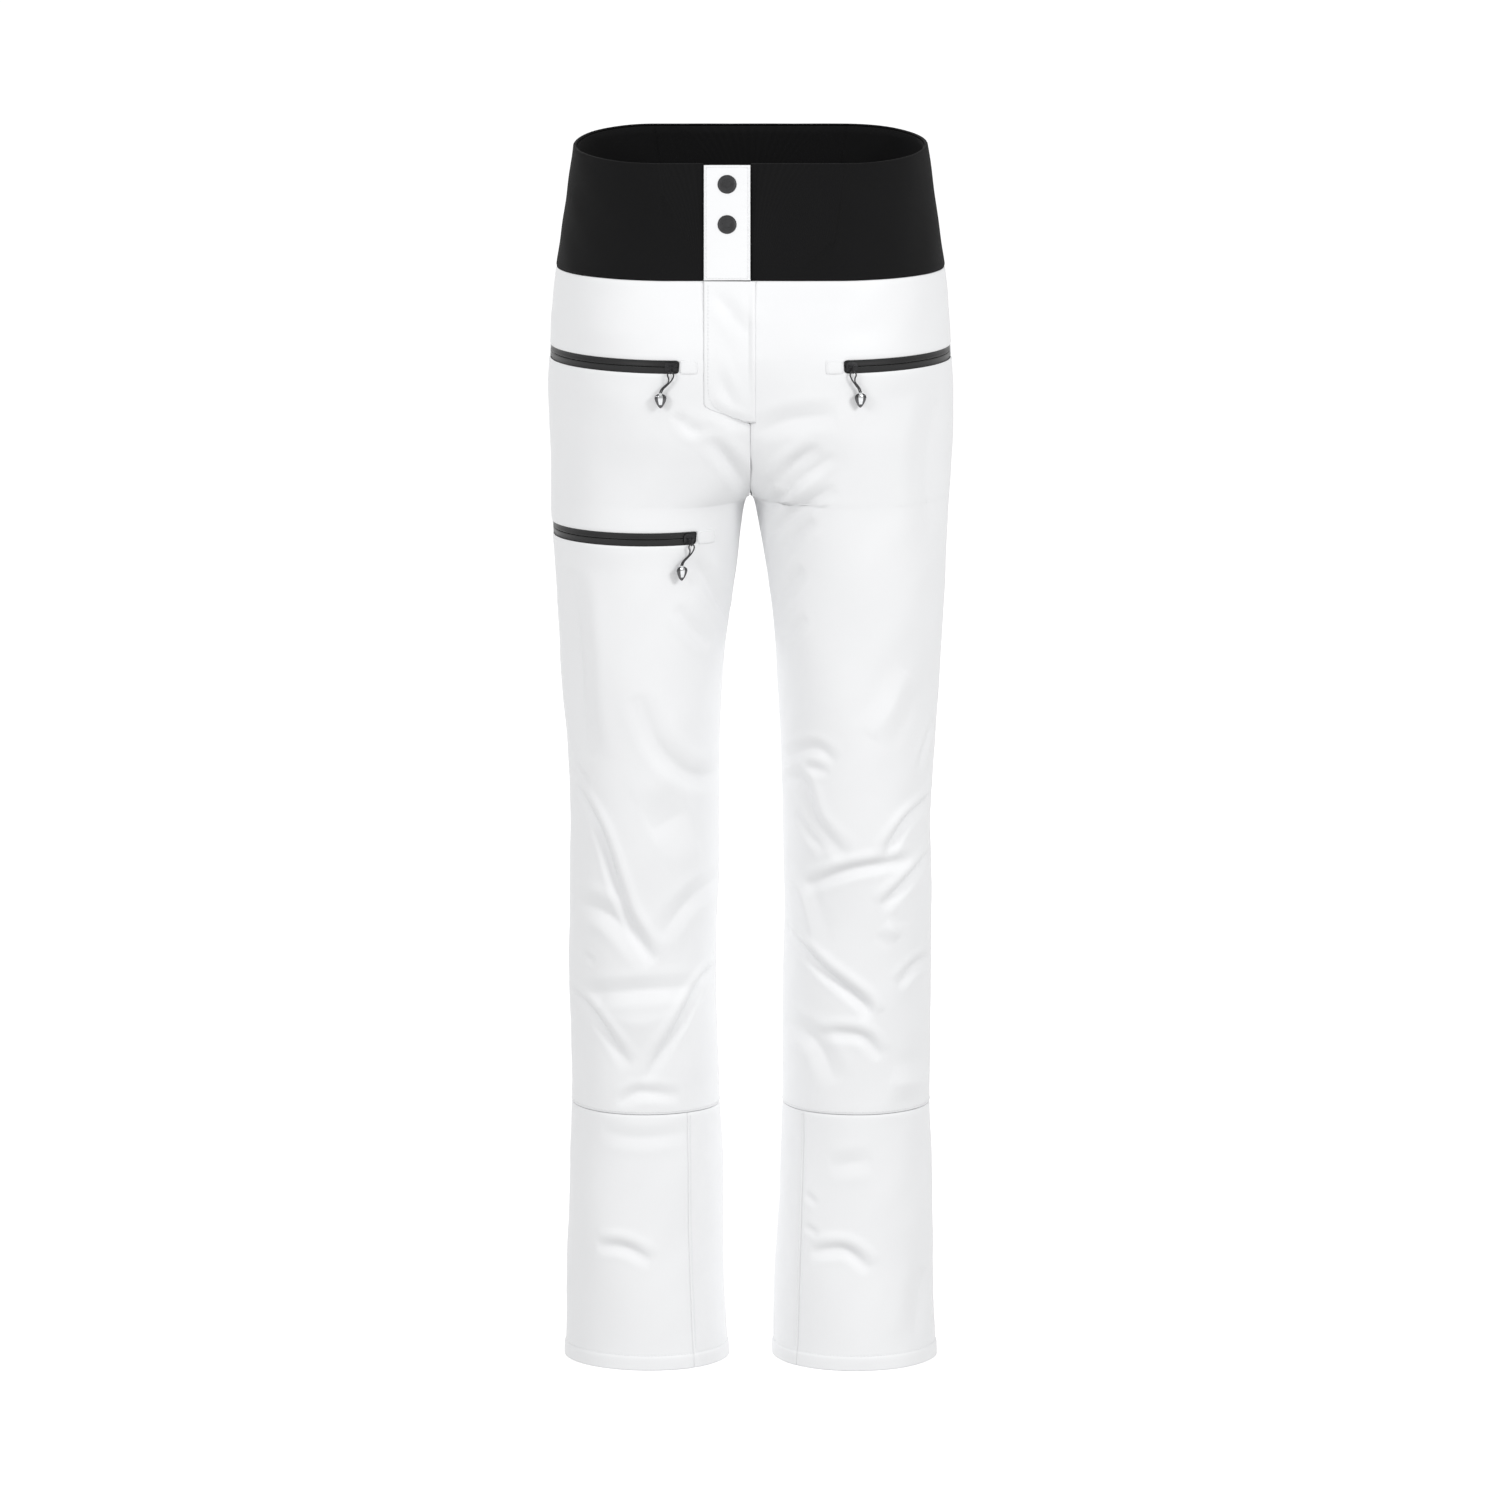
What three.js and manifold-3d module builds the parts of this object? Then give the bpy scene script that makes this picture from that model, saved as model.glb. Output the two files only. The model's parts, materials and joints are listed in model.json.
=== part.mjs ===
// Insulated ski pants, upright and filled out as if worn, in millimetres.
// +Z is up, the front faces -Y, and the wearer's right leg is on -X.
// Heights below are measured from the hem; the finished group is shifted so that its origin is the
// middle of the waist.
import * as THREE from "three";
import { mergeVertices } from "three/addons/utils/BufferGeometryUtils.js";
import Module from "manifold-3d";

const wasm = await Module();
wasm.setup();

// ---------- driving dimensions ----------

const SEAM_GAP = 0.3; // between two pieces that are sewn or pressed together edge to edge
const PLY_GAP = 0.8; // between two plies of curved cloth that lie on each other
const CROTCH_Z = 800;
const WAIST_SEAM_Z = 1007; // shell to waistband
const RIM_Z = 1117; // top edge of the waistband at the side
const RIM_TILT = 0.115; // rise of the top edge per millimetre towards the back
const CUFF_SEAM_Z = 236; // thigh and knee shell to lower leg
const HEM_HEIGHT = 15;
const ORIGIN = new THREE.Vector3(0, 0, RIM_Z);

const SHELL = 1.2; // shell fabric with its membrane
const HEM_THICKNESS = 2.7; // the hem is folded double
const LINING = 1.0;
const LINING_DEPTH = 15.6; // room for wadding, pocket bags and the fly between shell and lining
const JOIN = 0.2; // how far two solids that are merged into one piece run into each other
const SIDE_SEAM_DEG = 98; // seam angle round the leg, from the inside past the front (90) to the side (180)
const OPENING_ARCH = 45; // height over which the gap between the legs rounds off at the crotch
const RISE_CURVE = 60; // how fast the crotch seam runs forward and up

const BAND_SHELL = 1.2;
const BAND_ELASTIC = 0.8;
const BAND_FACING = 0.8;

const TAB_WIDTH = 42;
const TAB_THICKNESS = 1.6;
const TAB_PROUD = 0.8; // how far the tab stands out of the waistband
const TAB_OPEN = 150; // degrees
const FLY_STRAIGHT_Z = 897; // where the fly's stitching leaves the vertical
const FLY_BOTTOM_Z = 876;
const FLY_TOP_Z = 982;
const FLY_ZIP_FOOT = 12; // from the fly's foot up to the end of its tapes
const FLY_ZIP_DEPTH = 9.0;
const FLY_TAPE_REACH = { right: 14, left: 25 }; // from the coil to the tape's sewn edge
const FLY_PULL = 0.8;
const FLY_PULL_LENGTH = 17;
const FLY_PULL_WIDTH = 6;
const FLY_PULL_RIM = 1.1; // round its eye
const FLY_PULL_SHOULDER = 5; // from the eye's middle down to the full width
const FLY_PULL_LIFT = 5; // degrees, under the closed flap
const SHIELD = 1.0;
const SHIELD_LAP = 8; // how far the shield runs on past the centre, under the left front

const SNAP_HEIGHTS = { upper: 1091, lower: 1056 };
const SNAP_CAP_R = 8.5;
const SNAP_CAP_HEIGHT = 2.2;
const SNAP_POST_R = 1.4;
const SNAP_BODY_R = 5.2;
const SNAP_BODY_HEIGHT = 2.2;
const SNAP_HEAD_R = 2.6;
const SNAP_HEAD_PLAY = 0.4;
const SNAP_HOLE_PLAY = 0.4;
const SNAP_RIVET_R = 1.6;
const UNDERLAP = 1.2;
const UNDERLAP_REACH = 25; // how far it runs on behind the left front's facing
const UNDERLAP_SEWN = 3; // how far it runs on behind the right front
const UNDERLAP_FOOT = 2.5; // above the waist seam
const UNDERLAP_DROP = 2; // below the tab's top edge
const FACING_SHORT = 10; // the right front's facing ends this far outside the tab

const ZIP_SLOT = 12; // visible height of the coated tape
const ZIP_HIDDEN = 4; // tape that runs on under the shell
const ZIP_TAPE = 0.8;
const TAPE_GAP = 1.1; // between the shell and the tape under it
const ZIP_GAP = 1.6; // slot in which the slider's neck runs
const COIL_WIDTH = 1.4;
const COIL_DEPTH = 1.6;
const SLIDER_LENGTH = 11;
const SLIDER_HEIGHT = 8.5;
const SLIDER_PLATE = 1.2;
const SLIDER_PLAY = 0.6;
const SLIDER_NECK = 1.0;
const SLIDER_NECK_LENGTH = 4;
const SLIDER_BACK_INSET = 1; // the back plate is lower than the front plate by this at either edge
const BAIL_WIRE = 0.85;
const BAIL_OPENING = 4.8;
const BAIL_STAND = 4.2; // from the slider's face to the middle of its bail
const LINK_WIRE = 0.9;
const LINK_BORE_R = 0.9;
const LINK_LENGTH = 4.4; // between the centres of the link's two round ends
const LINK_WIDTH = 1.0;
const CORD_R = 0.65;
const CORD_TURN_R = 2.7;
const CORD_DROP = 16;
const CORD_MERGE = 0.5; // share of the drop over which the two strands come together
const LINK_FLIP = 140; // degrees
const CORD_SWING = 45; // degrees either way
const CHARM_WIDTH = 11;
const CHARM_HEIGHT = 13;
const CHARM_THICKNESS = 4;
const CHARM_SHOULDER = 1.2;
const COLLAR_R = 1.7;
const COLLAR_SUNK = 3; // how far the collar runs into the charm
const COLLAR_PROUD = 0.3;
const GARAGE_LENGTH = 16;
const GARAGE = 1.0;
const BAG = 1.5;
const BAG_BEND = 14; // from the zip's line up to where the bag starts to come forward
const BAG_INSET = 0.03; // share of the zip's arc that the bag leaves free at either end

const GAITER_DEPTH = 16; // how far the elasticated cuff stands inside the shell
const GAITER_BOTTOM_Z = 62;
const GAITER_ELASTIC = 26;
const GAITER_ELASTIC_THICKNESS = 1.6;

// Half sections of the body, from hem to rim: height, side (half the overall width), axis (where the
// front stands furthest out), centre (front-to-back place of the leg's axis), the depth from there to
// the front and to the back, and half the gap between the legs.
const BODY = [
  { z: 0, side: 170.4, axis: 95.4, centre: 8, front: 76, back: 78, gap: 20.5 },
  { z: 120, side: 167.2, axis: 96.0, centre: 9, front: 71, back: 75, gap: 24.8 },
  { z: 240, side: 164.8, axis: 96.5, centre: 9, front: 68, back: 74, gap: 28.2 },
  { z: 400, side: 164.7, axis: 97.4, centre: 2, front: 70, back: 74, gap: 30.0 },
  { z: 500, side: 165.4, axis: 97.3, centre: -4, front: 74, back: 75, gap: 29.2 },
  { z: 600, side: 169.2, axis: 97.8, centre: -6, front: 78, back: 83, gap: 26.4 },
  { z: 700, side: 174.2, axis: 96.0, centre: -8, front: 82, back: 92, gap: 17.8 },
  { z: 771, side: 180.0, axis: 94.0, centre: -8, front: 86, back: 98, gap: 8.6 },
  { z: 800, side: 181.6, axis: 90.6, centre: -6, front: 91, back: 108, gap: 8.0 },
  { z: 835, side: 182.6, axis: 84.0, centre: -2, front: 101, back: 118, gap: 8.0 },
  { z: 870, side: 183.2, axis: 74.0, centre: 0, front: 111, back: 122, gap: 8.0 },
  { z: 930, side: 181.8, axis: 63.0, centre: 0, front: 118.8, back: 119, gap: 8.0 },
  { z: 970, side: 178.4, axis: 65.0, centre: 0, front: 114, back: 110, gap: 8.0 },
  { z: 1007, side: 175.6, axis: 70.6, centre: 0, front: 105, back: 101, gap: 8.0 },
  { z: 1060, side: 168.0, axis: 77.0, centre: 0, front: 90.9, back: 88, gap: 8.0 },
  { z: 1130, side: 158.0, axis: 85.8, centre: 0, front: 72.2, back: 77, gap: 8.0 },
];

const COLOURS = {
  white: { color: 0xf2f3f4, roughness: 0.55, metalness: 0 },
  black: { color: 0x1b1b1c, roughness: 0.85, metalness: 0 },
  coated: { color: 0x232425, roughness: 0.4, metalness: 0 },
  lining: { color: 0xe4e6e8, roughness: 0.7, metalness: 0 },
  metal: { color: 0x2c2d2f, roughness: 0.35, metalness: 0.8 },
  silver: { color: 0xc9ccd0, roughness: 0.18, metalness: 1 },
};

const group = new THREE.Group();
group.position.copy(ORIGIN).negate();

function add(name, geometry, look, place = new THREE.Matrix4()) {
  const mesh = new THREE.Mesh(geometry, new THREE.MeshStandardMaterial(COLOURS[look]));
  mesh.name = name;
  place.decompose(mesh.position, mesh.quaternion, mesh.scale);
  group.add(mesh);
}

// Each moving body turns about an axis through a point, both in the frame of the heights above.
// The range is in degrees.
group.userData.joints = {};
function turnsOn(name, point, axis, low, high) {
  const at = new THREE.Vector3().copy(point).sub(ORIGIN);
  const direction = axis.clone().normalize();
  group.userData.joints[name] = { at: at.toArray(), axis: direction.toArray(), range: [low, high] };
}

// ---------- the body's surface ----------

// One column of a station table at a height: a smooth curve through the stations (non-uniform Catmull-Rom).
function along(stations, key, z) {
  const last = stations.length - 1;
  let i = 0;
  while (i < last - 1 && z > stations[i + 1].z) i += 1;
  const slope = (k) => {
    const lo = stations[Math.max(k - 1, 0)];
    const hi = stations[Math.min(k + 1, last)];
    return (hi[key] - lo[key]) / (hi.z - lo.z);
  };
  const [a, b] = [stations[i], stations[i + 1]];
  const h = b.z - a.z;
  const t = Math.min(Math.max((z - a.z) / h, 0), 1);
  return (
    a[key] * (1 + 2 * t) * (1 - t) ** 2 +
    b[key] * t * t * (3 - 2 * t) +
    h * t * (1 - t) * (slope(i) * (1 - t) - slope(i + 1) * t)
  );
}

// The sizes of one half's section. Below the crotch it is a closed leg; above it, the inner half
// widens until it is nearly flat.
function section(z) {
  const keys = ["side", "axis", "centre", "front", "back", "gap"];
  const s = Object.fromEntries(keys.map((key) => [key, along(BODY, key, z)]));
  const down = Math.min(Math.max((CROTCH_Z - z) / OPENING_ARCH, 0), 1);
  const inside = Math.max(s.gap * Math.sqrt(down * (2 - down)), SEAM_GAP / 2);
  const spread = Math.exp(-Math.max(z - CROTCH_Z, 0) / RISE_CURVE);
  s.inner = (s.axis - inside) / spread;
  s.outer = s.side - s.axis;
  s.start = Math.acos(Math.min((s.axis - inside) / s.inner, 1)); // angle of the inside edge: 0 on a leg
  return s;
}

// A point of one half: leg is -1 for the wearer's right and 1 for the left. The angle runs from the
// inside (0) by the front (90), the side (180) and the back (270 degrees) to the inside again.
function onBody(leg, angle, z) {
  const s = section(z);
  const across = Math.cos(angle);
  const out = Math.sin(angle);
  return new THREE.Vector3(
    leg * (s.axis - across * (across > 0 ? s.inner : s.outer)),
    s.centre - out * (out > 0 ? s.front : s.back),
    z,
  );
}

// The angle at which the front of one half lies at a distance x from the centre plane.
function frontAngle(z, x) {
  const s = section(z);
  const reach = x < s.axis ? s.inner : s.outer;
  return Math.acos(THREE.MathUtils.clamp((s.axis - x) / reach, -1, 1));
}

const rad = THREE.MathUtils.degToRad;
const sideSeam = rad(90 + SIDE_SEAM_DEG);
const spaced = (from, to, steps) =>
  Array.from({ length: steps + 1 }, (_, i) => from + ((to - from) * i) / steps);
const smooth = (a, b, x) => THREE.MathUtils.smoothstep(x, Math.min(a, b), Math.max(a, b));

// ---------- solids ----------

function closed(positions, indices) {
  const geometry = new THREE.BufferGeometry();
  const numbers = positions.flatMap((p) => p.toArray());
  geometry.setAttribute("position", new THREE.Float32BufferAttribute(numbers, 3));
  let volume = 0;
  for (let i = 0; i < indices.length; i += 3) {
    const [a, b, c] = [0, 1, 2].map((k) => positions[indices[i + k]]);
    volume += a.dot(new THREE.Vector3().crossVectors(b, c));
  }
  if (volume < 0) indices.reverse();
  geometry.setIndex(indices);
  return geometry;
}

// A sewn panel: a sheet over the surface that point(u, v) gives, between two depths under it. A depth
// may be a function of (u, v). Depths are measured level, so that an edge at one height stays at that
// height, unless level is false.
function panel(point, us, vs, outerDepth, innerDepth, level = true) {
  const depthAt = (d, u, v) => (typeof d === "function" ? d(u, v) : d);
  const du = (us[1] - us[0]) * 0.02;
  const dv = (vs[1] - vs[0]) * 0.02;
  const facing = new THREE.Vector3();
  const layers = [outerDepth, innerDepth].map((depth) =>
    vs.flatMap((v) =>
      us.map((u) => {
        const across = point(u + du, v).sub(point(u - du, v));
        const up = point(u, v + dv).sub(point(u, v - dv));
        facing.crossVectors(across, up);
        if (level) facing.z = 0;
        facing.normalize();
        const p = point(u, v);
        const fromAxis = new THREE.Vector3(p.x - Math.sign(p.x) * section(p.z).axis, p.y, 0);
        const inward = facing.dot(fromAxis) > 0 ? -1 : 1;
        return p.addScaledVector(facing, inward * depthAt(depth, u, v));
      }),
    ),
  );
  const [n, m] = [us.length, vs.length];
  const size = n * m;
  const indices = [];
  const quad = (a, b, c, d) => indices.push(a, b, c, a, c, d);
  for (let j = 0; j < m - 1; j += 1) {
    for (let i = 0; i < n - 1; i += 1) {
      const a = j * n + i;
      quad(a, a + 1, a + n + 1, a + n);
      quad(size + a, size + a + n, size + a + n + 1, size + a + 1);
    }
  }
  const rim = [];
  for (let i = 0; i < n - 1; i += 1) rim.push(i);
  for (let j = 0; j < m - 1; j += 1) rim.push(j * n + n - 1);
  for (let i = n - 1; i > 0; i -= 1) rim.push((m - 1) * n + i);
  for (let j = m - 1; j > 0; j -= 1) rim.push(j * n);
  rim.forEach((a, k) => {
    const b = rim[(k + 1) % rim.length];
    quad(b, a, a + size, b + size);
  });
  return closed(layers.flat(), indices);
}

function solid(geometry) {
  const bare = geometry.index ? geometry.clone() : geometry;
  const position = new THREE.BufferGeometry().setAttribute("position", bare.getAttribute("position"));
  if (bare.index) position.setIndex(bare.index);
  const merged = mergeVertices(position, 1e-4);
  return new wasm.Manifold(
    new wasm.Mesh({
      numProp: 3,
      vertProperties: merged.attributes.position.array,
      triVerts: new Uint32Array(merged.index.array),
    }),
  );
}

function fromSolid(manifold) {
  const mesh = manifold.getMesh();
  const geometry = new THREE.BufferGeometry();
  geometry.setAttribute("position", new THREE.BufferAttribute(mesh.vertProperties, 3));
  geometry.setIndex(new THREE.BufferAttribute(mesh.triVerts, 1));
  return geometry;
}

const union = (geometries) => fromSolid(geometries.map(solid).reduce((a, b) => a.add(b)));
const cut = (geometry, cutters) =>
  fromSolid(cutters.map(solid).reduce((a, b) => a.subtract(b), solid(geometry)));

// A box from its low and high corners.
function box(low, high) {
  const size = high.map((h, i) => h - low[i]);
  const geometry = new THREE.BoxGeometry(...size);
  return geometry.translate(...low.map((l, i) => l + size[i] / 2));
}

// A turned piece about the Y axis from [radius, height] corners.
const turned = (profile, segments = 18) =>
  new THREE.LatheGeometry(
    profile.map(([r, y]) => new THREE.Vector2(r, y)),
    segments,
  );

// ---------- shell ----------

const LEG_ROWS = [CUFF_SEAM_Z + SEAM_GAP / 2, 330, 440, 550, 650, 715, 760, 782, 794, 799];
const RISE_ROWS = [801.5, 807, 818, 835, 858];
const FLY_ROWS = [880, 886, 892, FLY_STRAIGHT_Z, 921, 941, 970, WAIST_SEAM_Z - SEAM_GAP / 2];
const shellRows = [...LEG_ROWS, ...RISE_ROWS, FLY_BOTTOM_Z, ...FLY_ROWS];

// How far the fly flap reaches from the centre plane at a height: it is cut off slantwise at its foot.
const flyReach = (z) => TAB_WIDTH * smooth(FLY_BOTTOM_Z, FLY_STRAIGHT_Z, z);

function seamAllowance(leg, angle, z) {
  const step = 0.01;
  return ((SEAM_GAP / 2) * step) / onBody(leg, angle + step, z).distanceTo(onBody(leg, angle, z));
}

function frontPanel(leg) {
  const point = (u, z) => {
    const { start } = section(z);
    const from = leg < 0 && z > FLY_BOTTOM_Z ? frontAngle(z, flyReach(z) + SEAM_GAP) : start;
    const [a, b] = [from + seamAllowance(leg, from, z), sideSeam - seamAllowance(leg, sideSeam, z)];
    return onBody(leg, a + u * (b - a), z);
  };
  return panel(point, spaced(0, 1, 11), shellRows, 0, SHELL);
}

function backPanel(leg) {
  const point = (u, z) => {
    const end = 2 * Math.PI - section(z).start;
    const [a, b] = [sideSeam + seamAllowance(leg, sideSeam, z), end - seamAllowance(leg, end, z)];
    return onBody(leg, a + u * (b - a), z);
  };
  return panel(point, spaced(0, 1, 9), shellRows, 0, SHELL);
}

// The lower leg wraps round from the scuff guard's front edge to its back edge; both end in a hem
// that is folded double.
function cuffPiece(leg, fromDeg, toDeg, steps) {
  const point = (u, z) => {
    const [a, b] = [rad(fromDeg), rad(toDeg)];
    const [low, high] = [a + seamAllowance(leg, a, z), b - seamAllowance(leg, b, z)];
    return onBody(leg, low + u * (high - low), z);
  };
  const rows = [0, HEM_HEIGHT, HEM_HEIGHT + 1, 120, CUFF_SEAM_Z - SEAM_GAP / 2];
  return panel(point, spaced(0, 1, steps), rows, 0, (_, z) => (z > HEM_HEIGHT ? SHELL : HEM_THICKNESS));
}

const SCUFF_EDGES = { right: 55, left: 45 }; // front edge of the scuff guard, in degrees from the inside
const SCUFF_BACK = -52;

// ---------- zips that run round the body on a true arc ----------

// reachIn and reachOut are the arc's ends, in degrees from straight ahead towards the side. Lean is
// how far the pull's foot hangs off to the side.
const ZIPS = {
  right_hand: { leg: -1, z: 931, reachIn: 0.4, reachOut: 89.5, bagTop: 957, bagBottom: 806, lean: 9 },
  left_hand: { leg: 1, z: 931, reachIn: 10, reachOut: 89.5, bagTop: 957, bagBottom: 806, lean: 6.6 },
  thigh: { leg: -1, z: 771, reachIn: -32.2, reachOut: 92, bagTop: 797, bagBottom: 630, lean: 10 },
};

const TAPE_DEPTH = SHELL + TAPE_GAP;
const COIL_BACK = TAPE_DEPTH + ZIP_TAPE + COIL_DEPTH;
const BAG_DEPTH = COIL_BACK + SLIDER_PLAY + SLIDER_PLATE + SEAM_GAP;
const COIL_EDGE = ZIP_GAP / 2 + COIL_WIDTH;
const COIL_STEP = 0.05; // width over which the coil's back falls to the tape's

const zipAngle = (zip, u) => rad(90 + zip.reachIn + u * (zip.reachOut - zip.reachIn));
const onZip = (zip, u, z) => onBody(zip.leg, zipAngle(zip, u), z);

function zipSlot(zip) {
  const rows = [zip.z - ZIP_SLOT / 2, zip.z + ZIP_SLOT / 2];
  return panel((u, z) => onZip(zip, u, z), spaced(0, 1, 11), rows, -3, SHELL + 2);
}

// One tape with its half of the coil; side is 1 above the slot and -1 below it.
function zipTape(zip, side) {
  const edges = [ZIP_GAP / 2, COIL_EDGE, COIL_EDGE + COIL_STEP, ZIP_SLOT / 2 + ZIP_HIDDEN];
  const rows = edges.map((e) => zip.z + side * e);
  const onCoil = (z) => Math.abs(z - zip.z) < COIL_EDGE + COIL_STEP / 2;
  const depth = (_, z) => (onCoil(z) ? COIL_BACK : TAPE_DEPTH + ZIP_TAPE);
  return panel((u, z) => onZip(zip, u, z), spaced(0, 1.01, 12), rows, TAPE_DEPTH, depth);
}

// The slider straddles the two coils. It looks along -Y and its chain runs along X, with the tapes'
// face at the origin.
function zipSlider() {
  const [l, h] = [SLIDER_LENGTH / 2, SLIDER_HEIGHT / 2];
  const front = -SLIDER_PLAY;
  const back = COIL_BACK - TAPE_DEPTH + SLIDER_PLAY;
  const face = front - SLIDER_PLATE;
  const [wire, bar] = [BAIL_WIRE / 2, face - BAIL_STAND];
  const reach = BAIL_OPENING / 2 + BAIL_WIRE;
  const [neck, low] = [SLIDER_NECK_LENGTH / 2, h - SLIDER_BACK_INSET];
  return union([
    box([-l, face, -h], [l, front, h]),
    box([-l, back, -low], [l, back + SLIDER_PLATE, low]),
    box([-neck, front - JOIN, -SLIDER_NECK / 2], [neck, back + JOIN, SLIDER_NECK / 2]),
    box([-reach, bar - wire, -wire], [reach, bar + wire, wire]),
    box([-reach, bar - wire, -wire], [-reach + BAIL_WIRE, face + JOIN, wire]),
    box([reach - BAIL_WIRE, bar - wire, -wire], [reach, face + JOIN, wire]),
  ]);
}
const BAR_OUT = SLIDER_PLAY + SLIDER_PLATE + BAIL_STAND; // from the tapes' face to the middle of the bail

// A flat oval link that hangs round the bail, in the plane across the zip, with the bail's middle at
// the origin.
function pullLink() {
  const oval = (r) => {
    const s = new THREE.Shape();
    s.absarc(0, 0, r, 0, Math.PI, false);
    s.absarc(0, -LINK_LENGTH, r, Math.PI, 2 * Math.PI, false);
    s.closePath();
    return s;
  };
  const shape = oval(LINK_BORE_R + LINK_WIRE);
  shape.holes.push(oval(LINK_BORE_R));
  const flat = { depth: LINK_WIDTH, bevelEnabled: false, curveSegments: 4 };
  return new THREE.ExtrudeGeometry(shape, flat)
    .translate(0, 0, -LINK_WIDTH / 2)
    .rotateX(Math.PI / 2)
    .rotateZ(Math.PI / 2);
}

// The centre of the cord's turn through the link, and the cord's foot, both below the zip's line.
const CORD_TURN_Z = -(LINK_LENGTH + LINK_BORE_R + CORD_TURN_R - CORD_R - SEAM_GAP);
const CORD_FOOT_Z = CORD_TURN_Z - CORD_DROP;
const CORD_STRAND = CORD_R + 0.12;

// Up one strand, round through the link and down the other; lean is how far the foot stands towards
// the side.
function pullCordPath(lean) {
  const strand = (side) =>
    [1, 0.8, 0.6, 0.4, 0.2].map((f) => {
      const apart = THREE.MathUtils.lerp(CORD_TURN_R, CORD_STRAND, smooth(0, CORD_MERGE, f));
      return new THREE.Vector3(side * apart + lean * smooth(0.2, 1, f), 0, CORD_TURN_Z - f * CORD_DROP);
    });
  const turn = [0, 0.25, 0.5, 0.75, 1].map((f) => {
    const a = Math.PI * (1 - f);
    return new THREE.Vector3(CORD_TURN_R * Math.cos(a), 0, CORD_TURN_Z + CORD_TURN_R * Math.sin(a));
  });
  return new THREE.CatmullRomCurve3([...strand(-1), ...turn, ...strand(1).reverse()]);
}

function pullCord(lean) {
  const round = new THREE.Shape().absarc(0, 0, CORD_R, 0, 2 * Math.PI, false);
  return new THREE.ExtrudeGeometry(round, {
    steps: 22,
    extrudePath: pullCordPath(lean),
    curveSegments: 4,
    bevelEnabled: false,
  });
}

// A pointed drop, domed on both faces, and a short collar for the cord.
function charm(lean) {
  const [w, h] = [CHARM_WIDTH / 2, CHARM_HEIGHT];
  const bevel = CHARM_THICKNESS * 0.32;
  const s = new THREE.Shape();
  s.moveTo(0, -CHARM_SHOULDER - bevel);
  s.bezierCurveTo(0.3 * w, -bevel, w - bevel, -bevel, w - bevel, -0.32 * h);
  s.bezierCurveTo(w - bevel, -0.6 * h, 0.3 * w, -0.85 * h, 0, -h + bevel);
  s.bezierCurveTo(-0.3 * w, -0.85 * h, -w + bevel, -0.6 * h, -w + bevel, -0.32 * h);
  s.bezierCurveTo(-w + bevel, -bevel, -0.3 * w, -bevel, 0, -CHARM_SHOULDER - bevel);
  const drop = new THREE.ExtrudeGeometry(s, {
    depth: CHARM_THICKNESS - 2 * bevel,
    bevelThickness: bevel,
    bevelSize: bevel,
    bevelSegments: 1,
    curveSegments: 3,
  });
  drop.translate(0, 0, -CHARM_THICKNESS / 2 + bevel).rotateX(Math.PI / 2);
  const side = [
    [0, -COLLAR_SUNK],
    [COLLAR_R, -COLLAR_SUNK],
    [COLLAR_R, COLLAR_PROUD],
    [0, COLLAR_PROUD],
  ];
  const collar = turned(side, 10).rotateX(Math.PI / 2);
  return union([drop, collar]).translate(lean, 0, CORD_FOOT_Z - SEAM_GAP - COLLAR_PROUD);
}

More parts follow.
